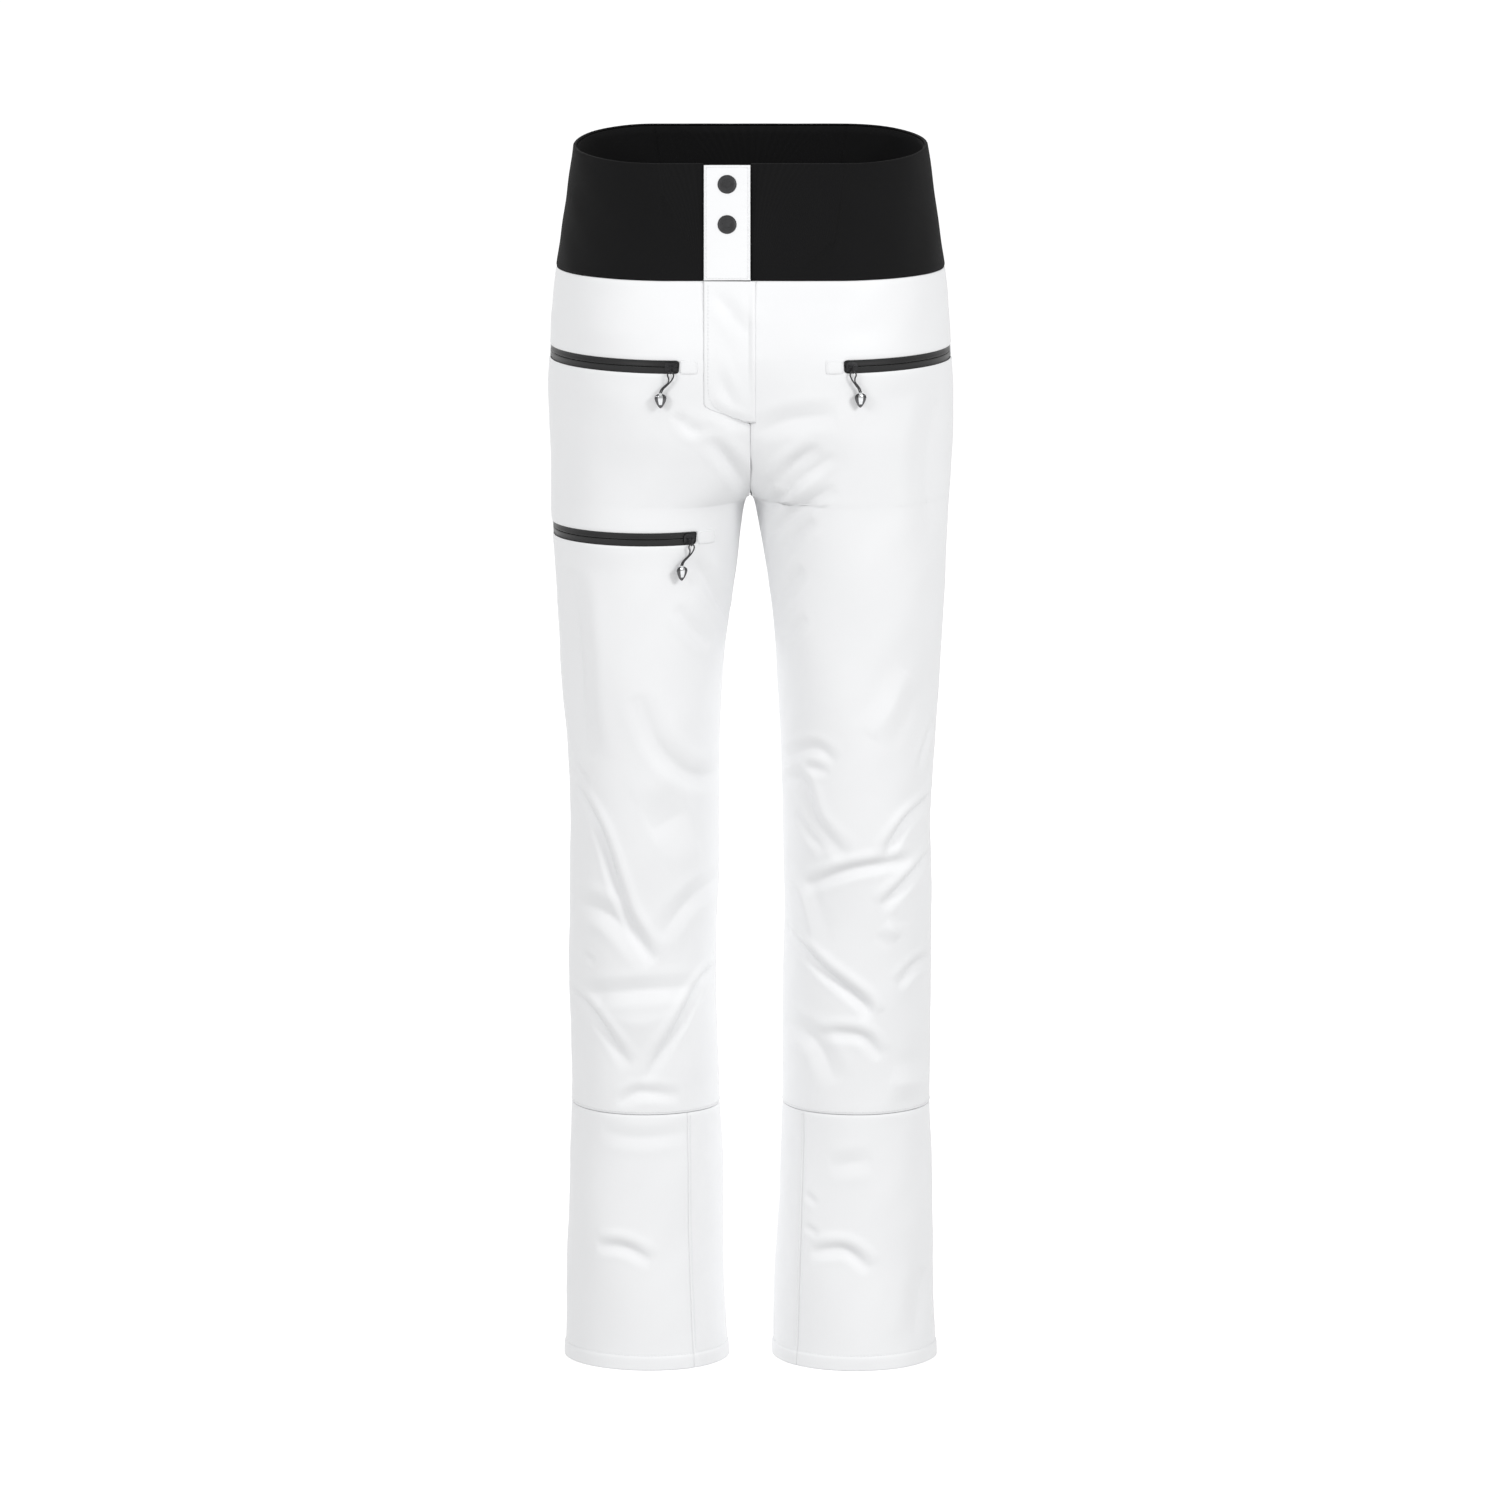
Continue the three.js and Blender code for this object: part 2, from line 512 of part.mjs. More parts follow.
function addZip(name, zip) {
  const { leg, z } = zip;
  const { axis, centre, outer } = section(z);
  const inset = (SLIDER_LENGTH / 2 + 2) / outer;
  const turn = leg * (rad(zip.reachIn) + inset);
  const slope = (section(z + 10).side - section(z - 10).side) / 20;
  const arcCentre = new THREE.Matrix4().makeTranslation(leg * axis, centre, z);
  const place = arcCentre
    .multiply(new THREE.Matrix4().makeRotationZ(turn))
    .multiply(new THREE.Matrix4().makeTranslation(0, TAPE_DEPTH - outer, 0))
    .multiply(new THREE.Matrix4().makeRotationX(Math.atan(slope)));
  const bail = new THREE.Vector3(0, -BAR_OUT, 0).applyMatrix4(place);
  const hang = new THREE.Matrix4().makeRotationZ(turn).setPosition(bail);
  add(`${name}_zip_tape_upper`, zipTape(zip, 1), "coated");
  add(`${name}_zip_tape_lower`, zipTape(zip, -1), "coated");
  add(`${name}_zip_slider`, zipSlider(), "metal", place);
  add(`${name}_zip_link`, pullLink(), "metal", hang);
  add(`${name}_pull_cord`, pullCord(leg * zip.lean), "black", hang);
  add(`${name}_pull_charm`, charm(leg * zip.lean), "silver", hang);

  // The slider runs round the arc to the side, the link flips up off the cloth, and the cord swings
  // from side to side in it.
  const travel = zip.reachOut - zip.reachIn - 2 * THREE.MathUtils.radToDeg(inset);
  const facing = new THREE.Vector3(0, -1, 0).transformDirection(hang);
  const across = new THREE.Vector3(-1, 0, 0).transformDirection(hang);
  const eyeZ = CORD_TURN_Z + CORD_TURN_R - CORD_R - SEAM_GAP - LINK_WIRE / 2;
  const eye = new THREE.Vector3(0, 0, eyeZ).applyMatrix4(hang);
  const middle = new THREE.Vector3(leg * axis, centre, z);
  turnsOn(`${name}_zip_slide`, middle, new THREE.Vector3(0, 0, leg), 0, travel);
  turnsOn(`${name}_link_flip`, bail, across, 0, LINK_FLIP);
  turnsOn(`${name}_pull_swing`, eye, facing, -CORD_SWING, CORD_SWING);

  // A bonded patch that ends the slot, just past its inner end.
  const slotEnd = axis + outer * Math.sin(rad(zip.reachIn));
  const patch = (u, v) => onBody(leg, frontAngle(v, slotEnd - SEAM_GAP - u * GARAGE_LENGTH), v);
  const patchRows = [z - ZIP_SLOT / 2, z + ZIP_SLOT / 2];
  const garage = panel(patch, spaced(0, 1, 4), patchRows, -SEAM_GAP - GARAGE, -SEAM_GAP);
  add(`${name}_zip_garage`, garage, "white");

  // The pocket bag hangs from the shell above the zip and passes behind the slider.
  const bendZ = z + BAG_BEND;
  const bag = (u, v) => onZip(zip, THREE.MathUtils.lerp(BAG_INSET, 1 - BAG_INSET, u), v);
  const fall = (v) => THREE.MathUtils.lerp(BAG_DEPTH, TAPE_DEPTH, smooth(bendZ, zip.bagTop, v));
  const bagRows = [zip.bagBottom, (zip.bagBottom + z) / 2, z, bendZ, (bendZ + zip.bagTop) / 2, zip.bagTop];
  const bagDepths = [(_, v) => fall(v), (_, v) => fall(v) + BAG];
  add(`${name}_pocket_bag`, panel(bag, spaced(0, 1, 10), bagRows, ...bagDepths), "lining");
}

// ---------- fly ----------

const FLY_X = -TAB_WIDTH / 2;

// The fly zip follows the belly on a circle in the fore-and-aft plane, through three points under the shell.
function flyCircle() {
  const heights = [FLY_BOTTOM_Z + FLY_ZIP_FOOT, (FLY_BOTTOM_Z + FLY_TOP_Z) / 2, FLY_TOP_Z];
  const [p, q, r] = heights.map((z) => {
    const y = onBody(-1, frontAngle(z, -FLY_X), z).y;
    return new THREE.Vector2(y, z);
  });
  const d = 2 * (p.x * (q.y - r.y) + q.x * (r.y - p.y) + r.x * (p.y - q.y));
  const [pp, qq, rr] = [p, q, r].map((v) => v.lengthSq());
  const y = (pp * (q.y - r.y) + qq * (r.y - p.y) + rr * (p.y - q.y)) / d;
  const z = (pp * (r.x - q.x) + qq * (p.x - r.x) + rr * (q.x - p.x)) / d;
  return { y, z, radius: Math.hypot(p.x - y, p.y - z) - (FLY_ZIP_DEPTH - TAPE_DEPTH) };
}
const fly = flyCircle();
const flyTurn = (z) => Math.asin((z - fly.z) / fly.radius);

// A point under the fly at a distance x across it and an angle up its circle.
const onFly = (x, a) =>
  new THREE.Vector3(x, fly.y - fly.radius * Math.cos(a), fly.z + fly.radius * Math.sin(a));

const flyDrop = FLY_ZIP_DEPTH - TAPE_DEPTH; // the circle's own depth under the shell
const flySewn = flyDrop - 1; // how far the tapes come forward to be sewn under the shell

function flyTape(side, reach) {
  const flat = ZIP_SLOT / 2;
  const edges = [ZIP_GAP / 2, COIL_EDGE, COIL_EDGE + COIL_STEP, flat, (flat + reach) / 2, reach - 3, reach];
  const out = (x) => Math.abs(x - FLY_X);
  const face = (x) => TAPE_DEPTH - flySewn * smooth(flat, reach - 3, out(x));
  const back = (x) => (out(x) < COIL_EDGE + COIL_STEP / 2 ? COIL_BACK : face(x) + ZIP_TAPE);
  const turns = spaced(flyTurn(FLY_BOTTOM_Z + FLY_ZIP_FOOT), flyTurn(FLY_TOP_Z), 6);
  return panel(onFly, edges.map((e) => FLY_X + side * e), turns, face, back, false);
}

// A flat tab whose eye lies under the fly slider's bail, so that it hangs flat down the zip. The
// eye's bar is at the origin.
function flyPull() {
  const [w, bore] = [FLY_PULL_WIDTH / 2, LINK_BORE_R + SEAM_GAP];
  const eye = -(bore + FLY_PULL_RIM / 2);
  const s = new THREE.Shape();
  s.absarc(0, eye, bore + FLY_PULL_RIM, 0, Math.PI, false);
  s.lineTo(-w, eye - FLY_PULL_SHOULDER);
  s.lineTo(-w, -FLY_PULL_LENGTH);
  s.lineTo(w, -FLY_PULL_LENGTH);
  s.lineTo(w, eye - FLY_PULL_SHOULDER);
  s.closePath();
  s.holes.push(new THREE.Path().absarc(0, eye, bore, 0, 2 * Math.PI, false));
  const flat = { depth: FLY_PULL, bevelEnabled: false, curveSegments: 5 };
  return new THREE.ExtrudeGeometry(s, flat).translate(0, 0, -FLY_PULL / 2).rotateX(Math.PI / 2);
}

function addFly() {
  const flap = (u, z) => {
    const reach = THREE.MathUtils.lerp(SEAM_GAP / 2, flyReach(z) - SEAM_GAP / 2, u);
    return onBody(-1, frontAngle(z, reach), z);
  };
  add("fly_flap", panel(flap, spaced(0, 1, 4), FLY_ROWS, 0, SHELL), "white");
  add("fly_zip_tape_right", flyTape(-1, FLY_TAPE_REACH.right), "black");
  add("fly_zip_tape_left", flyTape(1, FLY_TAPE_REACH.left), "black");

  // The shield lies behind the slider, and comes forward to be sewn behind the left tape.
  const tapeEnd = FLY_X + FLY_TAPE_REACH.left;
  const forward = flySewn + BAG_DEPTH - TAPE_DEPTH - ZIP_TAPE - PLY_GAP;
  const shieldFace = (x) => BAG_DEPTH - forward * smooth(tapeEnd - 12, tapeEnd, x);
  const shieldTurns = spaced(flyTurn(FLY_BOTTOM_Z + 4), flyTurn(FLY_TOP_Z), 6);
  const shieldEdges = [-TAB_WIDTH, FLY_X, tapeEnd - 12, tapeEnd - 6, tapeEnd, SHIELD_LAP];
  const shieldDepths = [shieldFace, (x) => shieldFace(x) + SHIELD];
  add("fly_shield", panel(onFly, shieldEdges, shieldTurns, ...shieldDepths, false), "white");

  const turn = flyTurn(FLY_TOP_Z - SLIDER_LENGTH / 2 - 1);
  const face = new THREE.Matrix4().makeTranslation(0, TAPE_DEPTH - fly.radius, 0);
  const place = new THREE.Matrix4()
    .makeTranslation(FLY_X, fly.y, fly.z)
    .multiply(new THREE.Matrix4().makeRotationX(-turn))
    .multiply(face);
  const upright = zipSlider().applyMatrix4(new THREE.Matrix4().makeRotationY(Math.PI / 2));
  add("fly_zip_slider", upright, "metal", place);
  const lowest = flyTurn(FLY_BOTTOM_Z + FLY_ZIP_FOOT + SLIDER_LENGTH / 2 + 1);
  const travel = THREE.MathUtils.radToDeg(turn - lowest);
  const middle = new THREE.Vector3(FLY_X, fly.y, fly.z);
  turnsOn("fly_zip_slide", middle, new THREE.Vector3(1, 0, 0), 0, travel);
  // The eye's bar lies half way between the slider's face and its bail, above the bail's lower leg.
  const halfWay = (BAIL_STAND - BAIL_WIRE / 2) / 2;
  const eye = new THREE.Vector3(0, -SLIDER_PLAY - SLIDER_PLATE - halfWay, -1);
  const hang = place.clone().multiply(new THREE.Matrix4().makeTranslation(...eye));
  add("fly_zip_pull", flyPull(), "metal", hang);
  turnsOn("fly_pull_lift", eye.clone().applyMatrix4(place), new THREE.Vector3(-1, 0, 0), 0, FLY_PULL_LIFT);
}

// ---------- waistband ----------

const bandFoot = WAIST_SEAM_Z + SEAM_GAP / 2;

// Every ply of the waistband has its corners at these angles round each half, so that the plies
// follow each other.
const frontStops = spaced(rad(90), sideSeam, 8);
const backStops = spaced(sideSeam, rad(270), 7).slice(1);
const centreFront = (z) => section(z).start;
const centreBack = (z) => 2 * Math.PI - section(z).start;

// A band piece is a panel in (u, v): u counts its stops, each a leg and an angle at a height, and v
// runs from the waist seam (0) to the rim (1), which rises towards the back.
function onBand(stops, u, v) {
  const i = THREE.MathUtils.clamp(Math.floor(u), 0, stops.length - 2);
  const at = ([leg, angle], z) => onBody(leg, typeof angle === "function" ? angle(z) : angle, z);
  const p = new THREE.Vector3();
  for (let k = 0; k < 3; k += 1) {
    const z = THREE.MathUtils.lerp(bandFoot, RIM_Z + RIM_TILT * p.y, v);
    p.copy(at(stops[i], z)).lerp(at(stops[i + 1], z), u - i);
  }
  return p;
}

function bandPiece(stops, rows, depth, thickness) {
  const us = spaced(0, stops.length - 1, stops.length - 1);
  return panel((u, v) => onBand(stops, u, v), us, rows, depth, depth + thickness);
}

// Depth of each ply under the waistband's face.
const ELASTIC_DEPTH = BAND_SHELL + PLY_GAP;
const FACING_DEPTH = ELASTIC_DEPTH + BAND_ELASTIC + PLY_GAP;
const FACING_BACK = FACING_DEPTH + BAND_FACING;

function addWaistband() {
  const upright = [0, 0.5, 1];
  const side = (leg, angles) => angles.map((a) => [leg, a]);
  const tabEdge = (z) => frontAngle(z, TAB_WIDTH + SEAM_GAP);
  const facingEnd = (z) => frontAngle(z, TAB_WIDTH + FACING_SHORT);
  const seam = seamAllowance(1, sideSeam, WAIST_SEAM_Z);
  const toSeam = [...frontStops.slice(0, -1), sideSeam - seam];
  const fromSeam = [sideSeam + seam, ...backStops];
  const back = [...side(-1, fromSeam), [-1, centreBack], [1, centreBack], ...side(1, fromSeam).reverse()];
  const innerRight = side(-1, [facingEnd, ...frontStops]);
  const innerLeft = side(1, [centreFront, ...frontStops]);
  const inner = [...innerRight, ...back.slice(1, -1), ...innerLeft.reverse()];
  add("waistband_front_right", bandPiece(side(-1, [tabEdge, ...toSeam]), upright, 0, BAND_SHELL), "black");
  add("waistband_front_left", bandPiece(side(1, [centreFront, ...toSeam]), upright, 0, BAND_SHELL), "black");
  add("waistband_back", bandPiece(back, upright, 0, BAND_SHELL), "black");
  add("waist_elastic", bandPiece(back, [0.12, 0.5, 0.88], ELASTIC_DEPTH, BAND_ELASTIC), "lining");
  add("waistband_facing", bandPiece(inner, upright, FACING_DEPTH, BAND_FACING), "black");
}

// ---------- closure: tab, underlap and snaps ----------

// The front of the waistband is flat here, so the closure is built in a frame on its face: X across,
// Y inwards, Z up the slope.
const tabFoot = onBody(-1, frontAngle(bandFoot, -FLY_X), bandFoot);
const tabHead = onBody(-1, frontAngle(1100, -FLY_X), 1100);
const slope = Math.atan2(tabHead.y - tabFoot.y, tabHead.z - tabFoot.z);
const closurePlace = new THREE.Matrix4()
  .makeTranslation(FLY_X, tabFoot.y, tabFoot.z)
  .multiply(new THREE.Matrix4().makeRotationX(-slope));
const upSlope = (z) => (z - tabFoot.z) / Math.cos(slope);

const tabInside = TAB_THICKNESS - TAB_PROUD;
const socketTop = tabInside + SEAM_GAP;
const studTop = socketTop + SNAP_BODY_HEIGHT + SEAM_GAP;
const underlapTop = FACING_BACK + PLY_GAP; // it runs on behind the left front's facing
const studBase = underlapTop - SEAM_GAP;

function addClosure() {
  const top = upSlope(RIM_Z - RIM_TILT * section(RIM_Z).front);
  const holes = (radius, from, to) =>
    Object.values(SNAP_HEIGHTS).map((z) =>
      new THREE.CylinderGeometry(radius, radius, to - from, 16).translate(0, (from + to) / 2, upSlope(z)),
    );
  const half = TAB_WIDTH / 2 - SEAM_GAP / 2;
  const tab = box([-half, -TAB_PROUD, SEAM_GAP], [half, tabInside, top]);
  add("closure_tab", cut(tab, holes(SNAP_POST_R + SNAP_HOLE_PLAY, -3, 3)), "white", closurePlace);
  // The tab swings open on its sewn edge.
  const sewnEdge = new THREE.Vector3(-half, -TAB_PROUD, top / 2).applyMatrix4(closurePlace);
  turnsOn("tab_open", sewnEdge, new THREE.Vector3(0, 0, -1).transformDirection(closurePlace), 0, TAB_OPEN);
  const leaf = box(
    [-half - UNDERLAP_SEWN, underlapTop, UNDERLAP_FOOT],
    [half + UNDERLAP_REACH, underlapTop + UNDERLAP, top - UNDERLAP_DROP],
  );
  const rivets = holes(SNAP_RIVET_R + SNAP_HOLE_PLAY, underlapTop - 1, underlapTop + 3);
  add("waist_underlap", cut(leaf, rivets), "black", closurePlace);

  for (const [name, z] of Object.entries(SNAP_HEIGHTS)) {
    const place = closurePlace.clone().multiply(new THREE.Matrix4().makeTranslation(0, 0, upSlope(z)));
    const [capFoot, capTop] = [-TAB_PROUD - SEAM_GAP, -TAB_PROUD - SEAM_GAP - SNAP_CAP_HEIGHT];
    const cap = [
      [0, capTop],
      [SNAP_CAP_R * 0.6, capTop + 0.25],
      [SNAP_CAP_R * 0.9, capTop + 0.9],
      [SNAP_CAP_R, capFoot - 0.5],
      [SNAP_CAP_R - 0.4, capFoot],
      [SNAP_POST_R, capFoot],
      [SNAP_POST_R, socketTop - SEAM_GAP],
      [0, socketTop - SEAM_GAP],
    ];
    add(`snap_cap_${name}`, turned(cap, 20), "metal", place);
    const [bore, roof, foot] = [SNAP_HEAD_R + SNAP_HEAD_PLAY, socketTop + 0.5, socketTop + SNAP_BODY_HEIGHT];
    const socket = [
      [0, socketTop],
      [SNAP_BODY_R, socketTop],
      [SNAP_BODY_R, foot],
      [bore, foot],
      [bore, roof],
      [0, roof],
    ];
    add(`snap_socket_${name}`, turned(socket, 16), "metal", place);
    const headTop = roof + SEAM_GAP;
    const backPlate = underlapTop + UNDERLAP + SEAM_GAP;
    const stud = [
      [0, headTop],
      [SNAP_HEAD_R * 0.8, headTop],
      [SNAP_HEAD_R, headTop + 0.6],
      [SNAP_HEAD_R * 0.75, studTop],
      [SNAP_BODY_R, studTop],
      [SNAP_BODY_R, studBase],
      [SNAP_RIVET_R, studBase],
      [SNAP_RIVET_R, backPlate],
      [SNAP_BODY_R - 0.6, backPlate],
      [SNAP_BODY_R - 0.6, backPlate + 0.8],
      [0, backPlate + 0.8],
    ];
    add(`snap_stud_${name}`, turned(stud, 12), "metal", place);
  }
}

// ---------- lining and snow gaiters ----------

function addLining(leg, name) {
  const round = (u, z) => {
    const { start } = section(z);
    const edge = start + 2 * seamAllowance(leg, start, z);
    return onBody(leg, edge + u * 2 * (Math.PI - edge), z);
  };
  // The lining starts flush with the waistband's facing and falls back from the shell below it.
  const topZ = WAIST_SEAM_Z - SEAM_GAP;
  const bendZ = FLY_TOP_Z + 3;
  const depth = (z) => THREE.MathUtils.lerp(LINING_DEPTH, FACING_DEPTH, smooth(bendZ, topZ, z));
  const legRows = [CUFF_SEAM_Z + SEAM_GAP, 400, 560, 700, 780, 797, 803];
  const rows = [...legRows, 820, 860, 930, bendZ, 993, 1000, topZ];
  const us = spaced(0, 1, 12);
  const ply = (zs, fall) => panel(round, us, zs, (_, z) => fall(z), (_, z) => fall(z) + LINING);
  add(`lining_${name}`, ply(rows, depth), "lining");

  const inset = (z) =>
    THREE.MathUtils.lerp(GAITER_DEPTH, LINING_DEPTH, smooth(GAITER_BOTTOM_Z, CUFF_SEAM_Z, z));
  const gaiterRows = [GAITER_BOTTOM_Z, 120, 180, CUFF_SEAM_Z - SEAM_GAP];
  add(`snow_gaiter_${name}`, ply(gaiterRows, inset), "lining");
  const gripTop = GAITER_BOTTOM_Z - SEAM_GAP;
  const gripBack = GAITER_DEPTH + GAITER_ELASTIC_THICKNESS;
  const grip = panel(round, us, [gripTop - GAITER_ELASTIC, gripTop], GAITER_DEPTH, gripBack);
  add(`gaiter_elastic_${name}`, grip, "black");
}

// ---------- assembly ----------

const LEGS = { right: -1, left: 1 };
for (const [name, leg] of Object.entries(LEGS)) {
  const slots = Object.values(ZIPS)
    .filter((zip) => zip.leg === leg)
    .map(zipSlot);
  add(`front_panel_${name}`, cut(frontPanel(leg), slots), "white");
  add(`back_panel_${name}`, backPanel(leg), "white");
  add(`lower_leg_${name}`, cuffPiece(leg, SCUFF_EDGES[name], 360 + SCUFF_BACK, 14), "white");
  add(`scuff_guard_${name}`, cuffPiece(leg, SCUFF_BACK, SCUFF_EDGES[name], 6), "white");
}
Object.entries(ZIPS).forEach(([name, zip]) => addZip(name, zip));
addFly();
addWaistband();
addClosure();
Object.entries(LEGS).forEach(([name, leg]) => addLining(leg, name));

export default group;
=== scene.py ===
import json
import math
import bmesh
import bpy
import numpy as np
from mathutils import Matrix, Vector


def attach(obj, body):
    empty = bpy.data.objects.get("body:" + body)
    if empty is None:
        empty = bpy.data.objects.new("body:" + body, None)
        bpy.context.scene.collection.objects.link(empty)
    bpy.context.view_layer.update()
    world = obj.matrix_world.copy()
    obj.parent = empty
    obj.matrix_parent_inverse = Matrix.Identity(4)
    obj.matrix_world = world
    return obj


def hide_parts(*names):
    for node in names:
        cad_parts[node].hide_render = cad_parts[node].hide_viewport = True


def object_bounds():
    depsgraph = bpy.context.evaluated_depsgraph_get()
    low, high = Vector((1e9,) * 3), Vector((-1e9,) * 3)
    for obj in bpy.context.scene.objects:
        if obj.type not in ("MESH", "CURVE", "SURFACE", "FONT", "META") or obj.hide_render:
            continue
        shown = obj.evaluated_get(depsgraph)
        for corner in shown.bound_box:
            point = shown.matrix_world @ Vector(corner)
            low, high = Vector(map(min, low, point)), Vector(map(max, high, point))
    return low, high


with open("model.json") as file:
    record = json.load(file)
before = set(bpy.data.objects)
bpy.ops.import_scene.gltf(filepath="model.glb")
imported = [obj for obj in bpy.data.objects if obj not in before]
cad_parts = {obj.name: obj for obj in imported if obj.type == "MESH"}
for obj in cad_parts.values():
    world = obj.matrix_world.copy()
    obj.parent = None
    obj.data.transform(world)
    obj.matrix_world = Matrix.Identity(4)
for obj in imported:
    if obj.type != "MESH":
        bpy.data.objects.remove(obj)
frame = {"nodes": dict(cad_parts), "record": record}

cad_box = [list(map(float, corner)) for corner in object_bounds()]

# ---------------------------------------------------------------- Camera
# The pants are seen from straight in front and ten degrees above, with a long lens, so that both legs stay
# upright.

HEM_Z = cad_box[0][2]
CAMERA_RISE = math.radians(10)
CAMERA_FAR = 10.0
CAMERA_SIGHT = 60  # how far the camera sees
SENSOR = 36
FIELD = 1.365  # width of the view at the pants
AIM_X, AIM_HEIGHT = -0.0005, 0.563
target = Vector((AIM_X, 0, HEM_Z + AIM_HEIGHT))

camera_data = bpy.data.cameras.new("camera")
camera_data.sensor_width = SENSOR
camera_data.lens = SENSOR * CAMERA_FAR / FIELD
camera_data.clip_end = CAMERA_SIGHT
camera = bpy.data.objects.new("camera", camera_data)
camera.location = target + CAMERA_FAR * Vector((0, -math.cos(CAMERA_RISE), math.sin(CAMERA_RISE)))
camera.rotation_euler = (math.pi / 2 - CAMERA_RISE, 0, 0)
bpy.context.scene.collection.objects.link(camera)
bpy.context.scene.camera = camera

# ---------------------------------------------------------------- Pull cords
# Each zip is opened by a thin braided cord, threaded as a loop through the slider's wire link, with both
# ends crimped into a metal charm. The loop hangs from the link and leans a little to the side that it was
# last pulled to.

CORD_R = 0.00065
LINK_LENGTH = 0.0044
LINK_BORE_R = 0.0009
LINK_WIRE = 0.0009
CORD_TURN_R = 0.0027
CORD_PLAY = 0.0003
CORD_TURN_Z = -(LINK_LENGTH + LINK_BORE_R + CORD_TURN_R - CORD_R - CORD_PLAY)
CORD_DROP = 0.016
STRAND_GAP = 0.00024
CORD_STRAND = CORD_R + STRAND_GAP / 2
ZIPS = {
    "right_hand": {"leg": -1, "height": 0.931, "inner": 0.4, "outer": 89.5, "lean": 0.009},
    "left_hand": {"leg": 1, "height": 0.931, "inner": 10, "outer": 89.5, "lean": 0.0066},
    "thigh": {"leg": -1, "height": 0.771, "inner": -32.2, "outer": 92, "lean": 0.010},
}
joints = {j["name"]: j for j in frame["record"]["behaviour"]["joints"]}


def smooth(low, high, x):
    t = np.clip((x - low) / (high - low), 0, 1)
    return t * t * (3 - 2 * t)


def mix(a, b, t):
    return a + (b - a) * t


def hanging_frame(zip_name):
    """A pull's frame: from the middle of the slider's bail, X runs along the zip and -Y off the cloth."""
    flip, swing = joints[f"{zip_name}_link_flip"], joints[f"{zip_name}_pull_swing"]
    along, out = -Vector(flip["axis"]), Vector(swing["axis"])
    return Matrix.Translation(flip["pos_m"]) @ Matrix((along, -out, (0, 0, 1))).transposed().to_4x4()


class Paint:
    """A value in a material. Its sums and products add Math nodes, and node() adds any other node."""

    def __init__(self, tree, socket=None):
        self.tree, self.socket = tree, socket

    def node(self, kind, settings=None, inputs=None, out=0):
        made = self.tree.nodes.new(kind)
        for key, value in (settings or {}).items():
            setattr(made, key, value)
        for key, value in (inputs or {}).items():
            if isinstance(value, Paint):
                self.tree.links.new(value.socket, made.inputs[key])
            else:
                made.inputs[key].default_value = value
        return Paint(self.tree, made.outputs[out])

    def math(self, operation, *values):
        return self.node("ShaderNodeMath", {"operation": operation}, dict(enumerate(values)))

    def __add__(self, other):
        return self.math("ADD", self, other)

    def __mul__(self, other):
        return self.math("MULTIPLY", self, other)

    __radd__, __rmul__ = __add__, __mul__


def coordinates(paint, kind):
    """The surface's own place: UV is metres along and up the cloth, Object is metres in the frame."""
    return paint.node("ShaderNodeTexCoord", out=kind)


def mottle(paint, scale, detail, rough=0.5):
    """Uneven patches."""
    facts = {"Vector": coordinates(paint, "Object"), "Scale": scale, "Detail": detail, "Roughness": rough}
    return paint.node("ShaderNodeTexNoise", None, facts)


def ribs(paint, scale, direction, kind="UV"):
    """Even raised lines."""
    settings = {"wave_type": "BANDS", "bands_direction": direction, "wave_profile": "SIN"}
    facts = {"Vector": coordinates(paint, kind), "Scale": scale}
    return paint.node("ShaderNodeTexWave", settings, facts, out=1)


def tint(paint, amount, dark, light):
    facts = {0: amount, 6: (*dark, 1), 7: (*light, 1)}
    return paint.node("ShaderNodeMix", {"data_type": "RGBA"}, facts, out=2)


def finish(name, build, **constants):
    """A material: constants sit on the shader's sockets, and build(paint) gives what varies and its bump."""
    material = bpy.data.materials.new(name)
    material.use_nodes = True
    tree = material.node_tree
    shader = tree.nodes["Principled BSDF"]
    for key, value in constants.items():
        shader.inputs[key.replace("_", " ")].default_value = value
    varied = build(Paint(tree))
    height, depth = varied.pop("height", None), varied.pop("depth", 0.0002)
    for key, value in varied.items():
        tree.links.new(value.socket, shader.inputs[key])
    if height is not None:
        facts = {"Strength": 1.0, "Distance": depth, "Height": height}
        bump = Paint(tree).node("ShaderNodeBump", None, facts)
        tree.links.new(bump.socket, shader.inputs["Normal"])
    return material


def place(obj, body, slot, material, *replaced):
    """Puts a piece on its body with its finish, in place of the plain solids it stands for. Its slot argument
    is not used.
    """
    bpy.context.scene.collection.objects.link(obj)
    obj.data.materials.append(material)
    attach(obj, body)
    if replaced:
        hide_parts(*replaced)
    return obj


def braid(paint):
    plait = ribs(paint, 260, "DIAGONAL", "Object")
    return {"Base Color": tint(paint, plait, (0.010, 0.010, 0.011), (0.030, 0.030, 0.032)), "height": plait}


cord_finish = finish("black_braid", braid, Roughness=0.65, Sheen_Weight=0.2)


def loop_points(lean):
    """Up one strand, round through the link and down the other."""
    def strand(side):
        for part in (1, 0.8, 0.6, 0.4, 0.2):
            apart = mix(CORD_TURN_R, CORD_STRAND, smooth(0, 0.38, part))
            yield side * apart + lean * smooth(0.2, 1, part), CORD_TURN_Z - part * CORD_DROP

    turn = [math.pi * (1 - part) for part in (0, 0.25, 0.5, 0.75, 1)]
    round_link = [(CORD_TURN_R * math.cos(a), CORD_TURN_Z + CORD_TURN_R * math.sin(a)) for a in turn]
    return [*strand(-1), *round_link, *reversed(list(strand(1)))]


